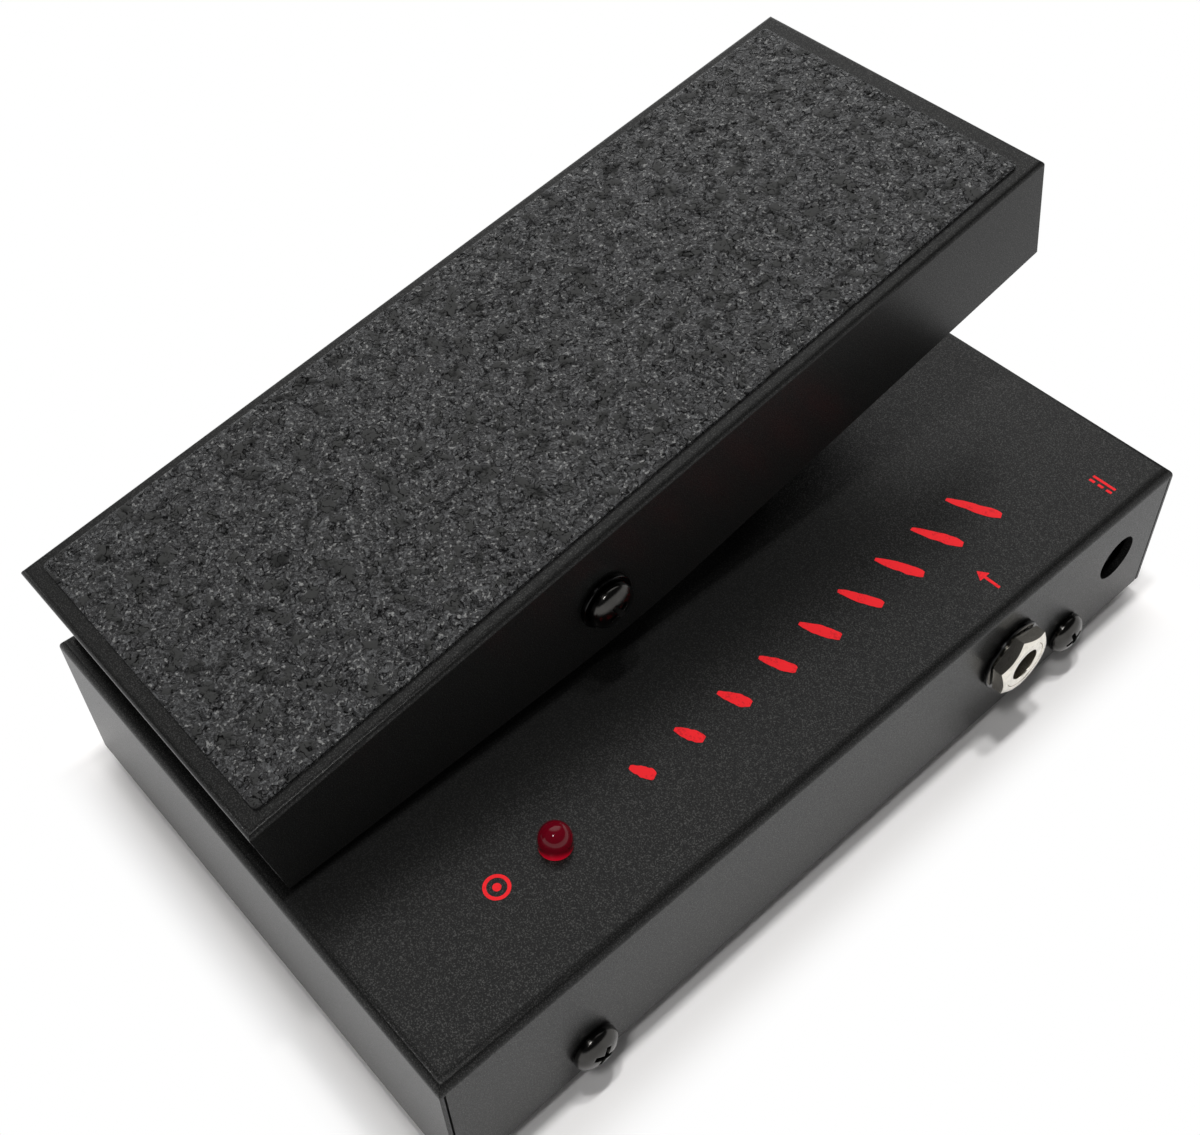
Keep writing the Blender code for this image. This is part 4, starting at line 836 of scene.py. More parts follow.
    @classmethod
    def _folded(cls, shape: bmesh.types.BMesh, bend: float, sheet: float) -> "Form":
        """Round the folds of a sheet and give it its thickness.

        Args:
            shape: the outer side of the sheet, with sharp folds.
            bend: the outer radius of the folds.
            sheet: the thickness, which goes inwards.

        Returns:
            The form.
        """
        folds = []
        for edge in shape.edges:
            heights = {round(vert.co.z / TINY) for vert in edge.verts}
            if len(edge.link_faces) == 2 and len(heights) == 1:
                folds.append(edge)
        bmesh.ops.bevel(
            shape,
            geom=folds,
            offset=bend,
            offset_type="OFFSET",
            segments=FOLD_STEPS,
            profile=0.5,
            affect="EDGES",
        )
        mesh = bpy.data.meshes.new("sheet")
        shape.to_mesh(mesh)
        shape.free()
        return cls(mesh).modified("SOLIDIFY", thickness=sheet, offset=-1, use_even_offset=True)

    @classmethod
    def tube(cls, path: Sequence[Vector], radius: float, sides: int) -> "Form":
        """A round wire along a path.

        Args:
            path: points down its middle.
            radius: the wire's radius.
            sides: how many sides its section has.

        Returns:
            The form.
        """

        def fill(shape: bmesh.types.BMesh) -> None:
            """Add a ring of points at each place of the path, and faces between rings."""
            across = (path[1] - path[0]).orthogonal().normalized()
            rings = []
            for i, place in enumerate(path):
                ahead = (path[min(i + 1, len(path) - 1)] - path[max(i - 1, 0)]).normalized()
                across = (across - ahead * across.dot(ahead)).normalized()
                up = ahead.cross(across)
                angles = [math.tau * k / sides for k in range(sides)]
                spokes = [across * math.cos(a) + up * math.sin(a) for a in angles]
                rings.append([shape.verts.new(place + spoke * radius) for spoke in spokes])
            for near, far in zip(rings, rings[1:]):
                for k in range(sides):
                    shape.faces.new((near[k - 1], near[k], far[k], far[k - 1]))
            shape.faces.new(rings[0])
            shape.faces.new(rings[-1])

        return cls.filled(fill)

    @classmethod
    def joined(cls, forms: Sequence["Form"]) -> "Form":
        """Several forms as one mesh.

        Args:
            forms: the forms, which are used up.

        Returns:
            The form.
        """
        shape = bmesh.new()
        for form in forms:
            shape.from_mesh(form.mesh)
            bpy.data.meshes.remove(form.mesh)
        mesh = bpy.data.meshes.new("forms")
        shape.to_mesh(mesh)
        shape.free()
        return cls(mesh)

    def placed(self, place: Matrix) -> "Form":
        """This form, moved by a matrix."""
        self.mesh.transform(place)
        return self

    def modified(self, kind: str, **settings: object) -> "Form":
        """This form after a modifier.

        Args:
            kind: the modifier's type.
            **settings: the modifier's properties.

        Returns:
            The form.
        """
        holder = bpy.data.objects.new("bench", self.mesh)
        bpy.context.scene.collection.objects.link(holder)
        modifier = holder.modifiers.new(kind, kind)
        for key, value in settings.items():
            setattr(modifier, key, value)
        graph = bpy.context.evaluated_depsgraph_get()
        made = bpy.data.meshes.new_from_object(holder.evaluated_get(graph))
        bpy.data.objects.remove(holder)
        bpy.data.meshes.remove(self.mesh)
        self.mesh = made
        return self

    def combined(self, tool: "Form", operation: str) -> "Form":
        """This form after a Boolean with another.

        Args:
            tool: the other form, which is used up.
            operation: the Boolean's operation.

        Returns:
            The form.
        """
        cutter = bpy.data.objects.new("tool", tool.mesh)
        bpy.context.scene.collection.objects.link(cutter)
        self.modified("BOOLEAN", operation=operation, object=cutter, solver="EXACT")
        bpy.data.objects.remove(cutter)
        bpy.data.meshes.remove(tool.mesh)
        return self

    def cut(self, *tools: "Form") -> "Form":
        """This form with others cut away."""
        return self.combined(Form.joined(tools), "DIFFERENCE")

    def within(self, tool: "Form") -> "Form":
        """The part of this form that lies inside another."""
        return self.combined(tool, "INTERSECT")

    def eased(self, width: float, angle: float = SHARP_ANGLE, steps: int = 2) -> "Form":
        """This form with its sharp edges rounded.

        Args:
            width: how far the rounding reaches.
            angle: the least angle between faces that counts as sharp.
            steps: how many stretches the rounding has.

        Returns:
            The form.
        """
        return self.modified(
            "BEVEL", width=width, segments=steps, limit_method="ANGLE", angle_limit=angle
        )

    def piece(self, name: str, surface: Surface, body: Body, *replaced: str) -> bpy.types.Object:
        """Make this form a piece of the pedal.

        Args:
            name: the piece's name.
            surface: its finish.
            body: the body that it rides on.
            *replaced: the CAD nodes that it stands for.

        Returns:
            The piece.
        """
        self.mesh.shade_smooth()
        self.mesh.set_sharp_from_angle(angle=SMOOTH_ANGLE)
        self.modified("WEIGHTED_NORMAL", keep_sharp=True)
        mesh = self.mesh
        mesh.name = name
        mesh.materials.clear()
        mesh.materials.append(surface.value.material())
        made = bpy.data.objects.new(name, mesh)
        bpy.context.scene.collection.objects.link(made)
        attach(made, body.value)
        if replaced:
            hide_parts(*replaced)
        LOG.info("%s rides on %s: %d faces", name, body.value, len(mesh.polygons))
        return made


def middle(node: str) -> Vector:
    """The middle of a CAD node's box."""
    low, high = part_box(node)
    return (low + high) / 2


def span(node: str, side: Side, centre: float = 0.0) -> Point:
    """How far out a CAD node starts and ends.

    Args:
        node: the node's name.
        side: the side towards which it is measured.
        centre: X of the plane from which it is measured.

    Returns:
        Its inner and outer distance.
    """
    inner, outer = sorted(side.value * (corner.x - centre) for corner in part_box(node))
    return inner, outer


def upright(place: Vector) -> Matrix:
    """A shift to the upright axis through a place."""
    return Matrix.Translation((place.x, place.y, 0))


def wall_axis(place: Vector, side: Side) -> Matrix:
    """A turn and shift to the axis through a place and out of a side."""
    return Matrix.Translation((0, place.y, place.z)) @ side.outwards


def dome(radius: float, crown: float, height: float, steps: int) -> list[Point]:
    """The profile of a dome, from its crown to its foot.

    Args:
        radius: the radius of its foot.
        crown: where its highest point is.
        height: how far its foot lies below that.
        steps: how many stretches it has.

    Returns:
        Radius and height pairs.
    """
    angles = [step / steps * math.pi / 2 for step in range(1, steps + 1)]
    foot = crown - height
    return [(0.0, crown), *((radius * math.sin(a), foot + height * math.cos(a)) for a in angles)]


def collar_corners(bore: float, radius: float, low: float, high: float) -> list[Point]:
    """The corners of a plain collar's profile."""
    return [(bore, high), (radius, high), (radius, low), (bore, low)]


def flanged_corners(bore: float, radius: float, flange: Point, low: float, high: float) -> list[Point]:
    """The corners of a flanged bushing's profile.

    Args:
        bore: the radius of its bore.
        radius: its outer radius.
        flange: the radius and the thickness of its flange, which is at the lower end.
        low: the height of its lower end.
        high: the height of its upper end.

    Returns:
        Radius and height pairs.
    """
    wide, step = flange[0], low + flange[1]
    return [(bore, high), (radius, high), (radius, step), (wide, step), (wide, low), (bore, low)]


def softened(points: Sequence[Point], reach: float, closed: bool = False, steps: int = 3) -> list[Point]:
    """Round the corners of a profile or an outline.

    Args:
        points: its corners.
        reach: how far along its sides a rounding starts.
        closed: whether the last corner joins the first.
        steps: how many stretches a rounding has.

    Returns:
        The rounded points.
    """
    rounded = []
    for i, corner in enumerate(points):
        if not closed and i in (0, len(points) - 1):
            rounded.append(tuple(corner))
            continue
        here = Vector(corner)
        before = Vector(points[i - 1]) - here
        after = Vector(points[(i + 1) % len(points)]) - here
        start = here + before.normalized() * min(reach, before.length * CORNER_SHARE)
        end = here + after.normalized() * min(reach, after.length * CORNER_SHARE)
        for step in range(steps + 1):
            t = step / steps
            rounded.append(tuple(start * (1 - t) ** 2 + here * 2 * t * (1 - t) + end * t**2))
    return rounded


def hexagon(across_flats: float) -> list[Point]:
    """The corners of a hexagon with flats that far apart."""
    radius = across_flats / math.sqrt(3)
    angles = [math.tau * i / 6 for i in range(6)]
    return [(radius * math.cos(a), radius * math.sin(a)) for a in angles]


@dataclass
class CaseCover:
    """Folded steel cover of the case, with its corner seams and holes."""

    sheet: float = 0.0015
    bend: float = 0.0022
    seam: float = 0.00035
    seam_inset: float = 0.0007
    seam_depth: float = 0.0009
    ease: float = 0.0005
    jack_hole: float = 0.0049
    inlet_hole: float = 0.0049
    lamp_hole: float = 0.0028
    case_screw_hole: float = 0.0023
    bracket_screw_hole: float = 0.0018
    stop_hole: float = 0.0023
    slot_half_width: float = 0.0017
    slot_reach: Point = (0.01048, 0.0300)

    def seams(self, low: Vector, high: Vector) -> list[Form]:
        """Cutters for the seams at the upright corners.

        Args:
            low: the cover's lowest corner.
            high: the cover's highest corner.

        Returns:
            The cutters.
        """
        tools = []
        for side, end in CORNERS:
            wall_y = end.value * (high.y - self.seam_inset)
            reach_y = sorted((wall_y, wall_y - end.value * self.seam))
            wall_x = side.value * high.x
            reach_x = sorted((wall_x + side.value * CUT_MARGIN, wall_x - side.value * self.seam_depth))
            bottom = (reach_x[0], reach_y[0], low.z - CUT_MARGIN)
            top = (reach_x[1], reach_y[1], high.z - self.bend)
            tools.append(Form.block(bottom, top))
        return tools

    def holes(self, high: Vector) -> list[Form]:
        """Cutters for the holes in the walls and the top.

        Args:
            high: the cover's highest corner.

        Returns:
            The cutters.
        """
        inlet = middle("power_inlet")
        inlet.z = middle("input_jack_nut").z
        in_walls = [
            (Side.RIGHT, middle("input_jack_nut"), self.jack_hole),
            (Side.LEFT, middle("output_jack_nut"), self.jack_hole),
            (Side.RIGHT, inlet, self.inlet_hole),
        ]
        for side, end in CORNERS:
            screw = middle(f"case_screw_{end.tag}_{side.tag}")
            in_walls.append((side, screw, self.case_screw_hole))
        tools = []
        for side, place, radius in in_walls:
            rod = Form.rod(radius, high.x - 2 * self.sheet, high.x + CUT_MARGIN)
            tools.append(rod.placed(wall_axis(place, side)))
        in_top = [
            (middle("indicator_led"), self.lamp_hole),
            (middle("bracket_screw_right"), self.bracket_screw_hole),
            (middle("bracket_screw_left"), self.bracket_screw_hole),
            (middle("heel_stop"), self.stop_hole),
            (middle("toe_stop"), self.stop_hole),
        ]
        below, above = high.z - 2 * self.sheet, high.z + CUT_MARGIN
        for place, radius in in_top:
            tools.append(Form.rod(radius, below, above).placed(upright(place)))
        slot_x = middle("position_sensor").x
        bottom = (slot_x - self.slot_half_width, self.slot_reach[0], below)
        top = (slot_x + self.slot_half_width, self.slot_reach[1], above)
        tools.append(Form.block(bottom, top))
        return tools

    def build(self) -> None:
        """Make the cover."""
        low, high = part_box("base_cover")
        form = Form.cover(low, high, self.bend, self.sheet)
        form.cut(*self.holes(high)).eased(self.ease, steps=3)
        form.cut(*self.seams(low, high))
        form.piece("case_shell", Surface.POWDER, Body.BASE, "base_cover")


@dataclass
class CrossScrew:
    """A domed screw with a cross recess, whose head sits on height zero."""

    head_radius: float
    head_height: float
    shank_radius: float
    shank_length: float
    rim: float = 0.0007
    span: float = 0.0046
    blade: float = 0.0011
    depth: float = 0.0017
    point: float = 0.5
    under_share: float = 0.25
    edge: float = 0.00012
    edge_angle: float = math.radians(40)
    dome_steps: int = 12

    def recess(self, turn: float) -> Form:
        """The cutter of the cross recess.

        Args:
            turn: how far the cross is turned, in radians.

        Returns:
            The cutter, which is drawn in towards its foot.
        """
        half, thin = self.span / 2, self.blade / 2
        corner = [(half, thin), (thin, thin), (thin, half)]
        outline = []
        for quarter in range(4):
            spin = Matrix.Rotation(quarter * math.pi / 2, 2)
            outline += [tuple(spin @ Vector(place)) for place in corner]
        tool = Form.prism(outline, self.head_height - self.depth, self.head_height, self.point)
        cap = Form.prism(outline, self.head_height - TINY, self.head_height + self.depth)
        return tool.combined(cap, "UNION").placed(Matrix.Rotation(turn, 4, "Z"))

    def form(self, turn: float) -> Form:
        """The whole screw.

        Args:
            turn: how far the cross is turned, in radians.

        Returns:
            The form.
        """
        under = self.rim * self.under_share
        profile = dome(self.head_radius, self.head_height, self.head_height - self.rim, self.dome_steps)
        profile += [
            (self.head_radius, under),
            (self.head_radius - under, 0),
            (self.shank_radius, 0),
            (self.shank_radius, -self.shank_length),
            (0, -self.shank_length),
        ]
        return Form.turned(profile).cut(self.recess(turn)).eased(self.edge, self.edge_angle)


@dataclass
class CaseScrews:
    """The four screws that hold the cover to the bottom plate."""

    screw: CrossScrew = field(default_factory=lambda: CrossScrew(0.0042, 0.0029, 0.002, 0.006))
    turns: tuple[float, ...] = (0.35, 1.0, 0.1, 0.7)

    def build(self) -> None:
        """Make each screw at its node's place."""
        for (side, end), turn in zip(CORNERS, self.turns):
            node = f"case_screw_{end.tag}_{side.tag}"
            seat = Matrix.Translation((0, 0, span(node, side)[1] - self.screw.head_height))
            form = self.screw.form(turn).placed(wall_axis(middle(node), side) @ seat)
            form.piece(f"case_bolt_{end.tag}_{side.tag}", Surface.BLACK_NICKEL, Body.BASE, node)


@dataclass
class PanelJack:
    """A jack in a side wall: hexagon nut, washer and threaded bushing round its bore."""

    side: Side
    prefix: str
    across_flats: float = 0.012
    chamfer_start: float = 0.00575
    chamfer_slope: float = 0.577
    bore: float = 0.00325
    bushing_radius: float = 0.00487
    shoulder_radius: float = 0.0058
    shoulder: float = 0.0012
    nut_bore: float = 0.0049
    washer_radius: float = 0.0073
    round_edge: float = 0.00028
    mouth_edge: float = 0.00008
    sunk: float = 0.00004
    nut_turn: float = math.radians(11)

    def nut(self, low: float, high: float) -> Form:
        """The nut, with its corners chamfered.

        Args:
            low: how far out it starts.
            high: how far out it ends.

        Returns:
            The form.
        """
        edge = self.across_flats / math.sqrt(3) + self.round_edge
        drop = (edge - self.chamfer_start) * self.chamfer_slope
        chamfer = [(0, high), (self.chamfer_start, high), (edge, high - drop), (edge, low), (0, low)]
        form = Form.prism(hexagon(self.across_flats), low, high)
        form.within(Form.turned(chamfer, steps=2 * TURN_STEPS))
        mouth = self.nut_bore + self.mouth_edge
        bore = [
            (0, high + CUT_MARGIN),
            (mouth, high + CUT_MARGIN),
            (mouth, high),
            (self.nut_bore, high - self.mouth_edge),
            (self.nut_bore, low - CUT_MARGIN),
            (0, low - CUT_MARGIN),
        ]
        return form.cut(Form.turned(bore)).placed(Matrix.Rotation(self.nut_turn, 4, "Z"))

    def washer(self, low: float, high: float) -> Form:
        """The washer under the nut, between two distances."""
        return Form.collar(collar_corners(self.nut_bore, self.washer_radius, low, high), self.round_edge)

    def bushing(self, low: float, high: float) -> Form:
        """The bushing, with its shoulder behind the wall, between two distances."""
        flange = (self.shoulder_radius, self.shoulder)
        corners = flanged_corners(self.bore, self.bushing_radius, flange, low, high - self.sunk)
        return Form.collar(corners, self.round_edge)

    def build(self) -> None:
        """Make the pieces on the jack's axis."""
        axis = wall_axis(middle(f"{self.prefix}_nut"), self.side)
        for word, make, surface in (
            ("nut", self.nut, Surface.NICKEL),
            ("washer", self.washer, Surface.BLACK_GLOSS),
            ("bushing", self.bushing, Surface.NICKEL),
        ):
            node = f"{self.prefix}_{word}"
            form = make(*span(node, self.side)).placed(axis)
            form.piece(f"jack_{word}_{self.side.tag}", surface, Body.BASE, node)


@dataclass
class PowerInlet:
    """The power inlet behind its hole: a moulded block, its round socket and its pin."""

    socket_radius: float = 0.0032
    socket_depth: float = 0.0095
    pin_radius: float = 0.00105
    pin_tip: float = 0.00063
    pin_short: float = 0.0006
    ease: float = 0.0004

    def build(self) -> None:
        """Make the block and the pin."""
        low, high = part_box("power_inlet")
        axis_z = middle("input_jack_nut").z
        axis = Matrix.Translation((high.x, middle("power_inlet").y, axis_z)) @ Side.RIGHT.outwards
        mouth = self.socket_radius + self.ease
        socket = [
            (0, CUT_MARGIN),
            (mouth, CUT_MARGIN),
            (mouth, 0),
            (self.socket_radius, -self.ease),
            (self.socket_radius, -self.socket_depth),
            (0, -self.socket_depth),
        ]
        block = Form.block(low, high).eased(self.ease)
        block.cut(Form.turned(socket).placed(axis))
        block.piece("inlet_block", Surface.BLACK_PLASTIC, Body.BASE, "power_inlet")
        tip = -self.pin_short
        pin = [
            (0, tip),
            (self.pin_tip, tip),
            (self.pin_radius, tip - self.ease),
            (self.pin_radius, -self.socket_depth - self.ease),
            (0, -self.socket_depth - self.ease),
        ]
        Form.turned(pin).placed(axis).piece("inlet_pin", Surface.NICKEL, Body.BASE)


@dataclass
class Lamp:
    """The indicator lamp: an egg-shaped red dome on its flange."""

    radius: float = 0.00278
    flange_radius: float = 0.0032
    flange: float = 0.001
    dome: float = 0.0031
    dome_steps: int = 24

    def build(self) -> None:
        """Make the lens."""
        low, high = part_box("indicator_led")
        lens = dome(self.radius, high.z, self.dome, self.dome_steps)
        lens += [
            (self.radius, low.z + self.flange),
            (self.flange_radius, low.z + self.flange),
            (self.flange_radius, low.z),
            (0, low.z),
        ]
        form = Form.turned(lens).placed(upright(middle("indicator_led")))
        form.piece("lamp_lens", Surface.LENS, Body.BASE, "indicator_led")


@dataclass
class PrintedMarks:
    """Plain red marks printed on the case top: a level scale, an arrow, a current sign and a ring."""

    ink: float = 0.00004
    line: float = 0.0006
    scale_low: Point = (0.0344, -0.0315)
    scale_high: Point = (0.0340, 0.0515)
    scale_bars: int = 9
    bar_lengths: Point = (0.0045, 0.0105)
    bar_width: float = 0.0027
    bar_slant: float = math.radians(24)
    bar_thin_end: float = 0.55
    bar_ends: float = 0.03
    bar_bluntness: float = 0.35
    bar_seed: float = 3.1
    edge_seed: float = 7.3
    wobble_rate: float = 6.0
    wobble_across: float = 0.22
    wobble_along: float = 0.02
    stroke_steps: int = 18
    jack_mark: Point = (0.0467, 0.0400)
    arrow_reach: float = 0.0026
    arrow_head: float = 0.0019
    arrow_wing: float = 0.0013
    inlet_mark: Point = (0.0467, 0.0735)
    sign_width: float = 0.0050
    sign_dash: float = 0.0012
    sign_dashes: int = 3
    lamp_mark: Point = (0.0345, -0.0613)
    ring_radii: Point = (0.0016, 0.0022)
    ring_dot: float = 0.0007

    def flat(self, outline: Sequence[Point]) -> Form:
        """A patch of ink on the case top."""
        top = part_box("base_cover")[1].z
        return Form.prism(outline, top, top + self.ink)

    def bar(self, middle_at: Vector, length: float, seed: float) -> Form:
        """One slanted stroke with a brushed edge.

        Args:
            middle_at: its middle.
            length: its length.
            seed: where its wobble is read.

        Returns:
            The stroke.
        """
        along = Vector((math.cos(self.bar_slant), math.sin(self.bar_slant)))
        across = along.orthogonal()
        edges: tuple[list[Point], list[Point]] = ([], [])
        for step in range(self.stroke_steps + 1):
            t = step / self.stroke_steps
            arc = math.sin(math.pi * (self.bar_ends + (1 - 2 * self.bar_ends) * t))
            swell = (self.bar_thin_end + (1 - self.bar_thin_end) * t) * arc**self.bar_bluntness
            for edge, way in zip(edges, (1, -1)):
                wobble = noise.noise(Vector((seed, way * self.edge_seed, t * self.wobble_rate)))
                half = self.bar_width / 2 * swell * (1 + self.wobble_across * wobble)
                share = t - 0.5 + self.wobble_along * wobble
                edge.append(tuple(middle_at + along * length * share + across * half * way))
        return self.flat(edges[0] + edges[1][::-1])

    def scale(self) -> Form:
        """Strokes that grow from heel to toe."""
        strokes = []
        for i in range(self.scale_bars):
            t = i / (self.scale_bars - 1)
            place = Vector(self.scale_low).lerp(Vector(self.scale_high), t)
            length = self.bar_lengths[0] + (self.bar_lengths[1] - self.bar_lengths[0]) * t
            strokes.append(self.bar(place, length, self.bar_seed * i))
        return Form.joined(strokes)

    def dash(self, start: Point, length: float) -> Form:
        """A short line along X.

        Args:
            start: the middle of its left end.
            length: its length.

        Returns:
            The line.
        """
        x, y = start
        half = self.line / 2
        corners = [(x, y - half), (x + length, y - half), (x + length, y + half), (x, y + half)]
        return self.flat(softened(corners, half / 2, closed=True))

    def current_sign(self) -> Form:
        """A line over short dashes."""
        x, y = self.inlet_mark
        left = x - self.sign_width / 2
        pitch = (self.sign_width - self.sign_dash) / (self.sign_dashes - 1)
        dashes = [self.dash((left, y + self.line), self.sign_width)]
        for i in range(self.sign_dashes):
            dashes.append(self.dash((left + i * pitch, y - self.line), self.sign_dash))
        return Form.joined(dashes)

    def arrow(self) -> Form:
        """An arrow that points in from the wall."""
        x, y = self.jack_mark
        half = self.line / 2
        tail, tip = x + self.arrow_reach, x - self.arrow_reach
        neck = tip + self.arrow_head
        corners = [
            (tail, y - half),
            (tail, y + half),
            (neck, y + half),
            (neck, y + self.arrow_wing),
            (tip, y),
            (neck, y - self.arrow_wing),
            (neck, y - half),
        ]
        return self.flat(softened(corners, half / 2, closed=True))

    def ring(self) -> Form:
        """A ring with a dot in it."""
        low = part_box("base_cover")[1].z
        high = low + self.ink
        line = Form.turned(collar_corners(*self.ring_radii, low, high), ring=True)
        forms = [line, Form.rod(self.ring_dot, low, high)]
        return Form.joined(forms).placed(Matrix.Translation((*self.lamp_mark, 0)))

    def build(self) -> None:
        """Print each mark."""
        for name, form in (
            ("print_scale", self.scale()),
            ("print_current", self.current_sign()),
            ("print_arrow", self.arrow()),
            ("print_ring", self.ring()),
        ):
            form.piece(name, Surface.INK, Body.BASE)


@dataclass
class TreadlePlate:
    """Where the treadle lies: level sizes measured from its pivot, and its tilt at rest."""

    half_width: float = 0.0337
    heel: float = -0.065
    toe: float = 0.1094
    top: float = 0.014
    tilt: float = math.radians(10.33)

    def at_rest(self) -> Matrix:
        """The turn and shift that take level sizes to the rest place."""
        hinge = next(joint for joint in frame["joints"] if joint["name"] == "treadle_hinge")
        return Matrix.Translation(hinge["pos_m"]) @ Matrix.Rotation(self.tilt, 4, "X")


@dataclass
class TreadleShell:
    """The treadle: a channel of folded sheet with walls that are deepest near the pivot."""

    plate: TreadlePlate
    sheet: float = 0.0016
    bend: float = 0.0011
    lip: float = 0.0028
    ease: float = 0.0004
    heel_depth: float = 0.0182
    knee_depth: float = 0.0276
    toe_depth: float = 0.0229
    knee: float = 0.005
    knee_reach: float = 0.014
    knee_steps: int = 8
    pivot_bore: float = 0.0038
    rivet_bore: float = 0.0017
    rivet_x: float = 0.0179
    rivet_y: Point = (0.0367, 0.0433)

    def side_outline(self) -> list[Point]:
        """The outline of a side wall in Y and Z, carried on beyond both ends."""
        plate = self.plate
        knee = Vector((self.knee, plate.top - self.knee_depth))
        ends = []
        for y, depth in ((plate.heel, self.heel_depth), (plate.toe, self.toe_depth)):
            corner = Vector((y, plate.top - depth))
            ends.append(tuple(corner + (corner - knee).normalized() * CUT_MARGIN))
        above = plate.top + CUT_MARGIN
        foot = softened([ends[0], tuple(knee), ends[1]], self.knee_reach, steps=self.knee_steps)
        return [(ends[0][0], above), *foot, (ends[1][0], above)]

    def build(self) -> None:
        """Fold the sheet, trim its walls and drill it."""
        plate = self.plate
        half, deep = plate.half_width, plate.top - self.knee_depth - CUT_MARGIN
        low, high = Vector((-half, plate.heel, deep)), Vector((half, plate.toe, plate.top))
        form = Form.cover(low, high, self.bend, self.sheet, self.lip)
        trim = Form.prism(self.side_outline(), -half - CUT_MARGIN, half + CUT_MARGIN)
        form.within(trim.placed(SIDEWAYS))
        pivot = Form.rod(self.pivot_bore, -half - CUT_MARGIN, half + CUT_MARGIN)
        tools = [pivot.placed(Side.RIGHT.outwards)]
        for y in self.rivet_y:
            rod = Form.rod(self.rivet_bore, plate.top - CUT_MARGIN - self.sheet, plate.top + CUT_MARGIN)
            tools.append(rod.placed(Matrix.Translation((self.rivet_x, y, 0))))
        form.cut(*tools).eased(self.ease, steps=3).placed(plate.at_rest())
        form.piece("treadle_shell", Surface.POWDER, Body.TREADLE, "treadle")


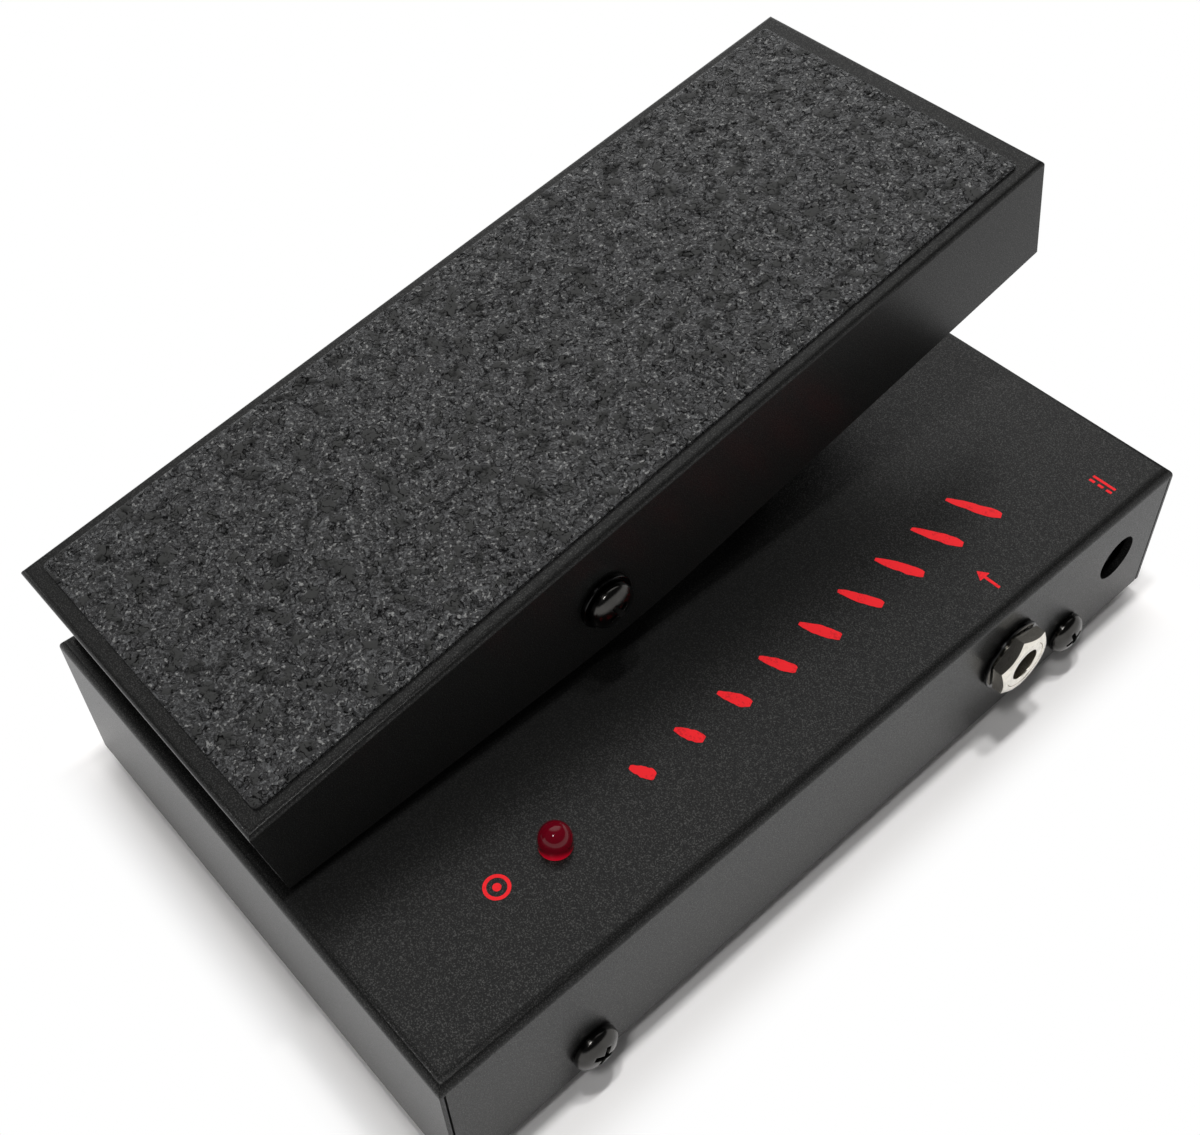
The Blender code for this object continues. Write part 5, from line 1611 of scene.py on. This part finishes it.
@dataclass
class GripPad:
    """The rubber pad: a grid whose top has rough grains, smooth islands and cracks.

    A pair that ends in _rise is the pattern value at which a mask starts and how far on it is full.
    The seed is never 0, with which vector noise would take its offsets from the clock.
    """

    plate: TreadlePlate
    seed: int = 5
    side_margin: float = 0.0026
    heel_margin: float = 0.0032
    toe_margin: float = 0.0042
    low: float = 0.00003
    high: float = 0.0007
    corner: float = 0.001
    spacing: float = 0.00033
    island_size: float = 0.0030
    crack_size: float = 0.0024
    grain_size: float = 0.0008
    grain_depth: float = 0.00016
    crack_depth: float = 0.00025
    edge_drop: float = 0.00018
    bend_rate: float = 1.7
    island_bend: float = 0.45
    island_rise: Point = (0.27, 0.07)
    crack_bend: float = 0.6
    crack_width: float = 0.15
    crack_patch: float = 0.8
    crack_patch_at: Place = (9.1, 4.7, 2.0)
    crack_rise: Point = (0.06, 0.1)
    grain_layers: tuple[Point, ...] = ((1.0, 0.6), (2.1, 0.4))

    @staticmethod
    def _rising(value: float, rise: Point) -> float:
        """A straight mask of a pattern value."""
        return min(max((value - rise[0]) / rise[1], 0.0), 1.0)

    def relief(self, x: float, y: float) -> tuple[float, float, float]:
        """The surface at a place.

        Args:
            x: across the pad, in metres.
            y: along the pad, in metres.

        Returns:
            Depth below the top in metres, how much it is an island, and how much it is a crack.
        """
        at = Vector((x, y, 0.0))
        bend = noise.noise_vector(at / self.island_size * self.bend_rate) * self.island_bend
        island = self._rising(noise.noise(at / self.island_size + bend), self.island_rise)
        distances, _ = noise.voronoi(at / self.crack_size + bend * self.crack_bend)
        gap = distances[1] - distances[0]
        patch = noise.noise(at / self.crack_size * self.crack_patch + Vector(self.crack_patch_at))
        crack = max(0.0, 1 - gap / self.crack_width) * self._rising(patch, self.crack_rise)
        grain = sum(noise.noise(at / self.grain_size * rate) * share for rate, share in self.grain_layers)
        depth = self.grain_depth * (1 - grain) / 2 * (1 - island)
        return depth + self.crack_depth * crack, island, crack

    def grid(self) -> tuple[np.ndarray, np.ndarray]:
        """Places across and along the pad, with its corners rounded.

        Returns:
            The X and the Y of each grid point.
        """
        plate = self.plate
        half = plate.half_width - self.side_margin
        near, far = plate.heel + self.heel_margin, plate.toe - self.toe_margin
        across = np.linspace(-half, half, round(2 * half / self.spacing) + 1)
        along = np.linspace(near, far, round((far - near) / self.spacing) + 1)
        x, y = np.meshgrid(across, along)
        inner_x = np.clip(x, -half + self.corner, half - self.corner)
        inner_y = np.clip(y, near + self.corner, far - self.corner)
        out_x, out_y = x - inner_x, y - inner_y
        reach = np.maximum(np.hypot(out_x, out_y), TINY)
        square = np.maximum(np.maximum(abs(out_x), abs(out_y)), TINY)
        shrink = np.where(abs(out_x * out_y) > 0, square / reach, 1.0)
        return inner_x + out_x * shrink, inner_y + out_y * shrink

    def form(self) -> Form:
        """The pad as a closed mesh, with its relief stored at each point."""
        noise.seed_set(self.seed)
        x, y = self.grid()
        rows, columns = x.shape
        surface = np.array([self.relief(*place) for place in zip(x.ravel(), y.ravel())])
        depth = surface[:, 0].reshape(rows, columns)
        edge = np.zeros((rows, columns), bool)
        edge[[0, -1], :] = True
        edge[:, [0, -1]] = True
        depth = np.where(edge, np.maximum(depth, self.edge_drop), depth)
        top = np.stack([x, y, self.plate.top + self.high - depth], axis=-1).reshape(-1, 3)
        number = np.arange(rows * columns).reshape(rows, columns)
        faces = np.stack(
            [number[:-1, :-1], number[:-1, 1:], number[1:, 1:], number[1:, :-1]], axis=-1
        ).reshape(-1, 4)
        loop = np.concatenate(
            [number[0, :-1], number[:-1, -1], number[-1, :0:-1], number[:0:-1, 0]]
        )
        bottom = top[loop].copy()
        bottom[:, 2] = self.plate.top + self.low
        foot = len(top) + np.arange(len(loop))
        wall = np.stack([loop, foot, np.roll(foot, -1), np.roll(loop, -1)], axis=-1)
        mesh = bpy.data.meshes.new("grip")
        points = np.concatenate([top, bottom])
        mesh.from_pydata(points.tolist(), [], faces.tolist() + wall.tolist() + [foot[::-1].tolist()])
        stored = mesh.attributes.new(Surface.GRIP.value.relief, "FLOAT_COLOR", "POINT")
        colours = np.zeros((len(points), 4))
        colours[: len(top), 0:2] = surface[:, 1:3]
        stored.data.foreach_set("color", colours.ravel())
        return Form(mesh)

    def build(self) -> None:
        """Lay the pad on the treadle."""
        form = self.form().placed(self.plate.at_rest())
        form.piece("grip_pad", Surface.GRIP, Body.TREADLE, "treadle_pad")


@dataclass
class PivotParts:
    """The pivot: bracket, screws, washers, nuts and the treadle's bushings."""

    plate: TreadlePlate
    screw: CrossScrew = field(
        default_factory=lambda: CrossScrew(0.0043, 0.0026, 0.002, 0.0105, span=0.0042)
    )
    turns: Point = (0.5, 0.2)
    washer_radius: float = 0.0051
    washer_bore: float = 0.0023
    round_edge: float = 0.0003
    nut_across: float = 0.007
    nut_chamfer_start: float = 0.00336
    nut_chamfer_end: float = 0.00434
    nut_chamfer_slope: float = 0.5
    bushing_radius: float = 0.0035
    bushing_flange_radius: float = 0.0055
    bushing_flange: float = 0.001
    bracket_sheet: float = 0.002
    bracket_bend: float = 0.0028
    bracket_ease: float = 0.0003
    bracket_screw_hole: float = 0.0018
    bolt: CrossScrew = field(
        default_factory=lambda: CrossScrew(0.003, 0.002, 0.0015, 0.007, 0.0005, 0.0034, 0.0009, 0.0012)
    )

    def washer(self, low: float, high: float) -> Form:
        """A washer between two distances."""
        return Form.collar(collar_corners(self.washer_bore, self.washer_radius, low, high), self.round_edge)

    def bushing(self, low: float, high: float) -> Form:
        """A flanged bushing between two distances, flange inwards."""
        flange = (self.bushing_flange_radius, self.bushing_flange)
        corners = flanged_corners(self.washer_bore, self.bushing_radius, flange, low, high)
        return Form.collar(corners, self.round_edge / 2)

    def nut(self, low: float, high: float) -> Form:
        """A hexagon nut between two distances.

        Args:
            low: how far out it starts.
            high: how far out it ends.

        Returns:
            The form.
        """
        start, edge = self.nut_chamfer_start, self.nut_chamfer_end
        drop = (edge - start) * self.nut_chamfer_slope
        upper = [(0, high), (start, high), (edge, high - drop)]
        chamfer = upper + [(edge, low + drop), (start, low), (0, low)]
        form = Form.prism(hexagon(self.nut_across), low, high).within(Form.turned(chamfer))
        return form.cut(Form.rod(self.washer_bore, low - CUT_MARGIN, high + CUT_MARGIN))

    def bracket(self) -> Form:
        """The U bracket on the case top, with round tongues and holes."""
        low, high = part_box("pivot_bracket")
        hinge = self.plate.at_rest().translation
        half = (high.y - low.y) / 2
        corners = [(low.x, high.z), (low.x, low.z), (high.x, low.z), (high.x, high.z)]
        form = Form.channel(corners, (low.y, high.y), self.bracket_bend, self.bracket_sheet)
        drop, wide = hinge.z - low.z + CUT_MARGIN, half + CUT_MARGIN
        angles = [math.pi * i / TURN_STEPS for i in range(TURN_STEPS + 1)]
        arc = [(half * math.cos(a), half * math.sin(a)) for a in angles]
        outline = [(wide, -drop), (wide, 0)] + arc + [(-wide, 0), (-wide, -drop)]
        reach = (high.x - low.x) / 2 + CUT_MARGIN
        tongue = Form.prism(outline, -reach, reach)
        form.within(tongue.placed(Matrix.Translation(hinge) @ SIDEWAYS))
        bore = Form.rod(self.washer_bore, -reach, reach)
        tools = [bore.placed(Matrix.Translation(hinge) @ Side.RIGHT.outwards)]
        for side in Side:
            rod = Form.rod(self.bracket_screw_hole, low.z - CUT_MARGIN, low.z + 2 * self.bracket_sheet)
            tools.append(rod.placed(upright(middle(f"bracket_screw_{side.tag}"))))
        return form.cut(*tools).eased(self.bracket_ease)

    def build(self) -> None:
        """Make the pieces on both sides."""
        self.bracket().piece("pivot_yoke", Surface.POWDER, Body.BASE, "pivot_bracket")
        hinge = self.plate.at_rest().translation
        for side, turn in zip(Side, self.turns):
            axis = Matrix.Translation(hinge) @ side.outwards
            node = f"pivot_screw_{side.tag}"
            seat = Matrix.Translation((0, 0, span(node, side, hinge.x)[1] - self.screw.head_height))
            form = self.screw.form(turn).placed(axis @ seat)
            form.piece(f"pivot_bolt_{side.tag}", Surface.BLACK_NICKEL, Body.BASE, node)
            for word, make, surface, body in (
                ("washer", self.washer, Surface.BLACK_GLOSS, Body.BASE),
                ("nut", self.nut, Surface.ZINC, Body.BASE),
                ("bushing", self.bushing, Surface.NYLON, Body.TREADLE),
            ):
                node = f"pivot_{word}_{side.tag}"
                form = make(*span(node, side, hinge.x)).placed(axis)
                form.piece(f"hinge_{word}_{side.tag}", surface, body, node)
            node = f"bracket_screw_{side.tag}"
            place = middle(node)
            place.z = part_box(node)[1].z - self.bolt.head_height
            form = self.bolt.form(turn).placed(Matrix.Translation(place))
            form.piece(f"bracket_bolt_{side.tag}", Surface.ZINC, Body.BASE, node)


@dataclass
class ReturnSpring:
    """The return spring and the moulded cup that it stands in."""

    wire: float = 0.0008
    mean_radius: float = 0.0068
    turns: float = 8.5
    closed_turns: float = 0.75
    closed_pitch: float = 0.00168
    points_per_turn: int = 36
    sides: int = 14
    pressed_share: float = 0.835
    cup_floor: float = 0.0015
    cup_rim: float = 0.001
    boss_radius: float = 0.0054
    groove_radius: float = 0.0082
    cup_radius: float = 0.0105
    round_edge: float = 0.0004

    def path(self, low: float, high: float) -> list[Vector]:
        """Points down the middle of the wire, with a closed coil at each end.

        Args:
            low: the height of the first coil.
            high: the height of the last coil.

        Returns:
            The points, about the Z axis.
        """
        count = round(self.turns * self.points_per_turn)
        closed = self.closed_turns / self.turns
        lie = self.closed_pitch * self.closed_turns
        points = []
        for i in range(count + 1):
            t = i / count
            heights = (low, low + lie, high - lie, high)
            height = float(np.interp(t, (0, closed, 1 - closed, 1), heights))
            angle = math.tau * self.turns * t - math.pi / 2
            x, y = self.mean_radius * math.cos(angle), self.mean_radius * math.sin(angle)
            points.append(Vector((x, y, height)))
        return points

    def build(self) -> None:
        """Wind the spring and turn its cup."""
        low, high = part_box("return_spring")
        seat_low, seat_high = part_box("spring_seat")
        place = middle("spring_seat")
        axis = upright(place)
        coil = Form.tube(self.path(low.z + self.wire, high.z - self.wire), self.wire, self.sides)
        spring = coil.placed(axis).piece("spring_coil", Surface.SPRING, Body.BASE, "return_spring")
        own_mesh(spring)
        floor = seat_low.z + self.cup_floor
        cup = [
            (0, seat_high.z),
            (self.boss_radius, seat_high.z),
            (self.boss_radius, floor),
            (self.groove_radius, floor),
            (self.groove_radius, floor + self.cup_rim),
            (self.cup_radius, floor + self.cup_rim),
            (self.cup_radius, seat_low.z),
            (0, seat_low.z),
        ]
        form = Form.turned(softened(cup, self.round_edge)).placed(axis)
        form.piece("spring_cup", Surface.BLACK_PLASTIC, Body.BASE, "spring_seat")


@dataclass
class RubberParts:
    """Rubber feet under the case, and the stops at both ends of the travel."""

    foot_radius: float = 0.0072
    foot_taper: float = 0.0008
    foot_recess: float = 0.0042
    foot_floor: float = 0.0013
    foot_bore: float = 0.0018
    stop_radius: float = 0.006
    stop_groove: float = 0.0007
    stop_pitch: float = 0.0042
    stop_dome: float = 0.0015
    stop_stem: float = 0.002
    stop_steps: int = 8
    round_edge: float = 0.0005

    def feet(self) -> None:
        """Make the four feet."""
        for side, end in CORNERS:
            node = f"foot_{end.tag}_{side.tag}"
            low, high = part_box(node)
            corners = [
                (self.foot_bore, high.z),
                (self.foot_radius, high.z),
                (self.foot_radius - self.foot_taper, low.z),
                (self.foot_recess, low.z),
                (self.foot_recess, high.z - self.foot_floor),
                (self.foot_bore, high.z - self.foot_floor),
            ]
            form = Form.collar(corners, self.round_edge).placed(upright(middle(node)))
            form.piece(f"rubber_foot_{end.tag}_{side.tag}", Surface.RUBBER, Body.BASE, node)

    def stops(self) -> None:
        """Make the two stops, which are ribbed under their domes."""
        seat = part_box("base_cover")[1].z + self.round_edge
        for end in End:
            node = f"{end.tag}_stop"
            low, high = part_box(node)
            shoulder = high.z - self.stop_dome
            profile = dome(self.stop_radius, high.z, self.stop_dome, self.stop_steps)
            ribs = max(1, round((shoulder - seat) / self.stop_pitch))
            for step in range(1, ribs * self.stop_steps + 1):
                t = step / self.stop_steps
                dip = self.stop_groove * (1 - math.cos(math.tau * t)) / 2
                height = shoulder + (seat - shoulder) * t / ribs
                profile.append((self.stop_radius - dip, height))
            profile += [(self.stop_stem, seat), (self.stop_stem, low.z), (0, low.z)]
            form = Form.turned(profile).placed(upright(middle(node)))
            form.piece(f"{end.tag}_bumper", Surface.RUBBER, Body.BASE, node)

    def build(self) -> None:
        """Make the feet and the stops."""
        self.feet()
        self.stops()


@dataclass
class InnerWorks:
    """The CAD nodes that stay as they are and take a finish."""

    finishes: dict[Surface, tuple[str, ...]] = field(
        default_factory=lambda: {
            Surface.POWDER: ("bottom_plate",),
            Surface.ZINC: (
                "board_screw_left",
                "board_screw_right",
                "board_standoff_left",
                "board_standoff_right",
                "bracket_nut_left",
                "bracket_nut_right",
                "foot_screw_heel_left",
                "foot_screw_heel_right",
                "foot_screw_toe_left",
                "foot_screw_toe_right",
                "vane_rivet_heel",
                "vane_rivet_toe",
            ),
            Surface.BLACK_PLASTIC: (
                "input_jack_body",
                "output_jack_body",
                "led_holder",
                "position_sensor",
                "shutter_vane",
                "signal_chip",
            ),
            Surface.BOARD: ("circuit_board",),
            Surface.RELAY: ("bypass_relay",),
            Surface.INDUCTOR: ("filter_inductor",),
            Surface.CAPACITOR: ("supply_capacitor",),
            Surface.RED_WIRE: ("led_wire_red",),
            Surface.BLACK_WIRE: ("led_wire_black",),
        }
    )

    def build(self) -> None:
        """Give each node its finish."""
        for surface, names in self.finishes.items():
            for name in names:
                materials = frame["nodes"][name].data.materials
                materials.clear()
                materials.append(surface.value.material())
                LOG.info("%s keeps its shape, finish %s", name, surface.value.slot)


@dataclass(frozen=True)
class StudioLamp:
    """A flat lamp that faces the middle of the floor."""

    name: str
    place: Place
    size: Point
    power: float
    mirrored: bool = False

    def hang(self) -> None:
        """Add the lamp."""
        light = bpy.data.lights.new(self.name, "AREA")
        light.shape = "RECTANGLE"
        light.size, light.size_y = self.size
        light.energy = self.power
        lamp = bpy.data.objects.new(self.name, light)
        lamp.location = self.place
        lamp.visible_glossy = self.mirrored
        lamp.rotation_euler = Vector(self.place).to_track_quat("Z", "Y").to_euler()
        bpy.context.scene.collection.objects.link(lamp)


@dataclass
class Studio:
    """White floor and backdrop, soft light and the camera.

    The backdrop and the window are given by how high or how near the middle of the window a direction is.
    """

    floor_size: float = 6.0
    floor_colour: Colour = (0.93, 0.915, 0.905)
    floor_fade: Point = (0.0, 0.011)
    footprint: Place = (0.0575, 0.0878, 0.0)
    backdrop: Colour = (1.0, 1.0, 1.0)
    backdrop_reach: Point = (0.25, 0.32)
    ceiling: Colour = (0.06, 0.06, 0.061)
    window: Colour = (1.75, 1.75, 1.75)
    window_way: Place = (-0.54, 0.42, 0.73)
    window_reach: Point = (0.74, 0.93)
    lamps: tuple[StudioLamp, ...] = (
        StudioLamp("key", (0.008, -0.08, 1.0), (0.05, 0.08), 2.9),
        StudioLamp("fill", (0.008, 0.11, 1.0), (0.05, 0.08), 2.5),
        StudioLamp("glint", (0.20, -0.40, 0.92), (0.14, 0.14), 1.8, True),
    )
    photo_width: float = 1200.0
    photo_height: float = 1135.0
    focal_pixels: float = 1564.8
    principal: Point = (654.8, 497.3)
    camera_place: Place = (0.13689, -0.12253, 0.24889)
    camera_right: Place = (0.67983, 0.73335, -0.0043)
    camera_ahead: Place = (-0.49963, 0.45886, -0.73472)
    camera_near: float = 0.01
    sensor: float = 36.0

    def floor(self) -> None:
        """Lay the floor, which is lit round the pedal's footprint and evenly white further out."""
        half = self.floor_size / 2
        corners = [(-half, -half, 0), (half, -half, 0), (half, half, 0), (-half, half, 0)]
        mesh = bpy.data.meshes.new("studio_floor")
        mesh.from_pydata(corners, [], [(0, 1, 2, 3)])
        material = bpy.data.materials.new("studio_floor")
        tree = ShaderTree(material)
        lit = tree.node("ShaderNodeBsdfDiffuse", None, {"Color": self.floor_colour})
        white = tree.node("ShaderNodeEmission", None, {"Color": self.backdrop, "Strength": 1.0})
        beyond = tree.vector("SUBTRACT", tree.vector("ABSOLUTE", tree.place()), self.footprint)
        away = tree.vector("LENGTH", tree.vector("MAXIMUM", beyond, ORIGIN), output="Value")
        both = tree.node("ShaderNodeMixShader", None, {0: away.rising(*self.floor_fade), 1: lit, 2: white})
        tree.node("ShaderNodeOutputMaterial", None, {"Surface": both})
        mesh.materials.append(material)
        floor = bpy.data.objects.new("studio_floor", mesh)
        bpy.context.scene.collection.objects.link(floor)

    def sky(self) -> None:
        """Light the room softly, with a white backdrop all round and a window above it."""
        world = bpy.data.worlds.new("studio")
        bpy.context.scene.world = world
        tree = ShaderTree(world)
        way = tree.node("ShaderNodeTexCoord", output="Generated")
        height = tree.node("ShaderNodeSeparateXYZ", None, {"Vector": way}, "Z")
        colour = tree.mix(height.rising(*self.backdrop_reach), self.backdrop, self.ceiling)
        window = tree.along(way, ORIGIN, self.window_way).rising(*self.window_reach)
        colour = tree.mix(window, colour, self.window)
        room = tree.node("ShaderNodeBackground", None, {"Color": colour, "Strength": 1.0})
        tree.node("ShaderNodeOutputWorld", None, {"Surface": room})

    def camera(self) -> None:
        """Stand the camera where the photograph was taken."""
        data = bpy.data.cameras.new("camera")
        data.sensor_width = self.sensor
        data.sensor_fit = "HORIZONTAL"
        data.lens = self.focal_pixels * self.sensor / self.photo_width
        data.shift_x = (self.photo_width / 2 - self.principal[0]) / self.photo_width
        data.shift_y = (self.principal[1] - self.photo_height / 2) / self.photo_width
        data.clip_start = self.camera_near
        back = -Vector(self.camera_ahead).normalized()
        right = Vector(self.camera_right)
        right = (right - back * right.dot(back)).normalized()
        turn = Matrix((right, back.cross(right), back)).transposed().to_4x4()
        camera = bpy.data.objects.new("camera", data)
        camera.matrix_world = Matrix.Translation(self.camera_place) @ turn
        bpy.context.scene.collection.objects.link(camera)
        bpy.context.scene.camera = camera

    def build(self) -> None:
        """Set the camera, the light and the floor."""
        bpy.context.scene.view_settings.view_transform = "Standard"
        self.camera()
        self.sky()
        for lamp in self.lamps:
            lamp.hang()
        self.floor()


def main() -> None:
    """Build the studio and the pedal."""
    logging.basicConfig(level=logging.INFO, format="%(message)s")
    plate = TreadlePlate()
    for part in (
        Studio(),
        CaseCover(),
        CaseScrews(),
        PanelJack(Side.RIGHT, "input_jack"),
        PanelJack(Side.LEFT, "output_jack"),
        PowerInlet(),
        Lamp(),
        PrintedMarks(),
        TreadleShell(plate),
        GripPad(plate),
        PivotParts(plate),
        ReturnSpring(),
        RubberParts(),
        InnerWorks(),
    ):
        LOG.info("building %s", type(part).__name__)
        part.build()


if __name__ == "__main__":
    main()
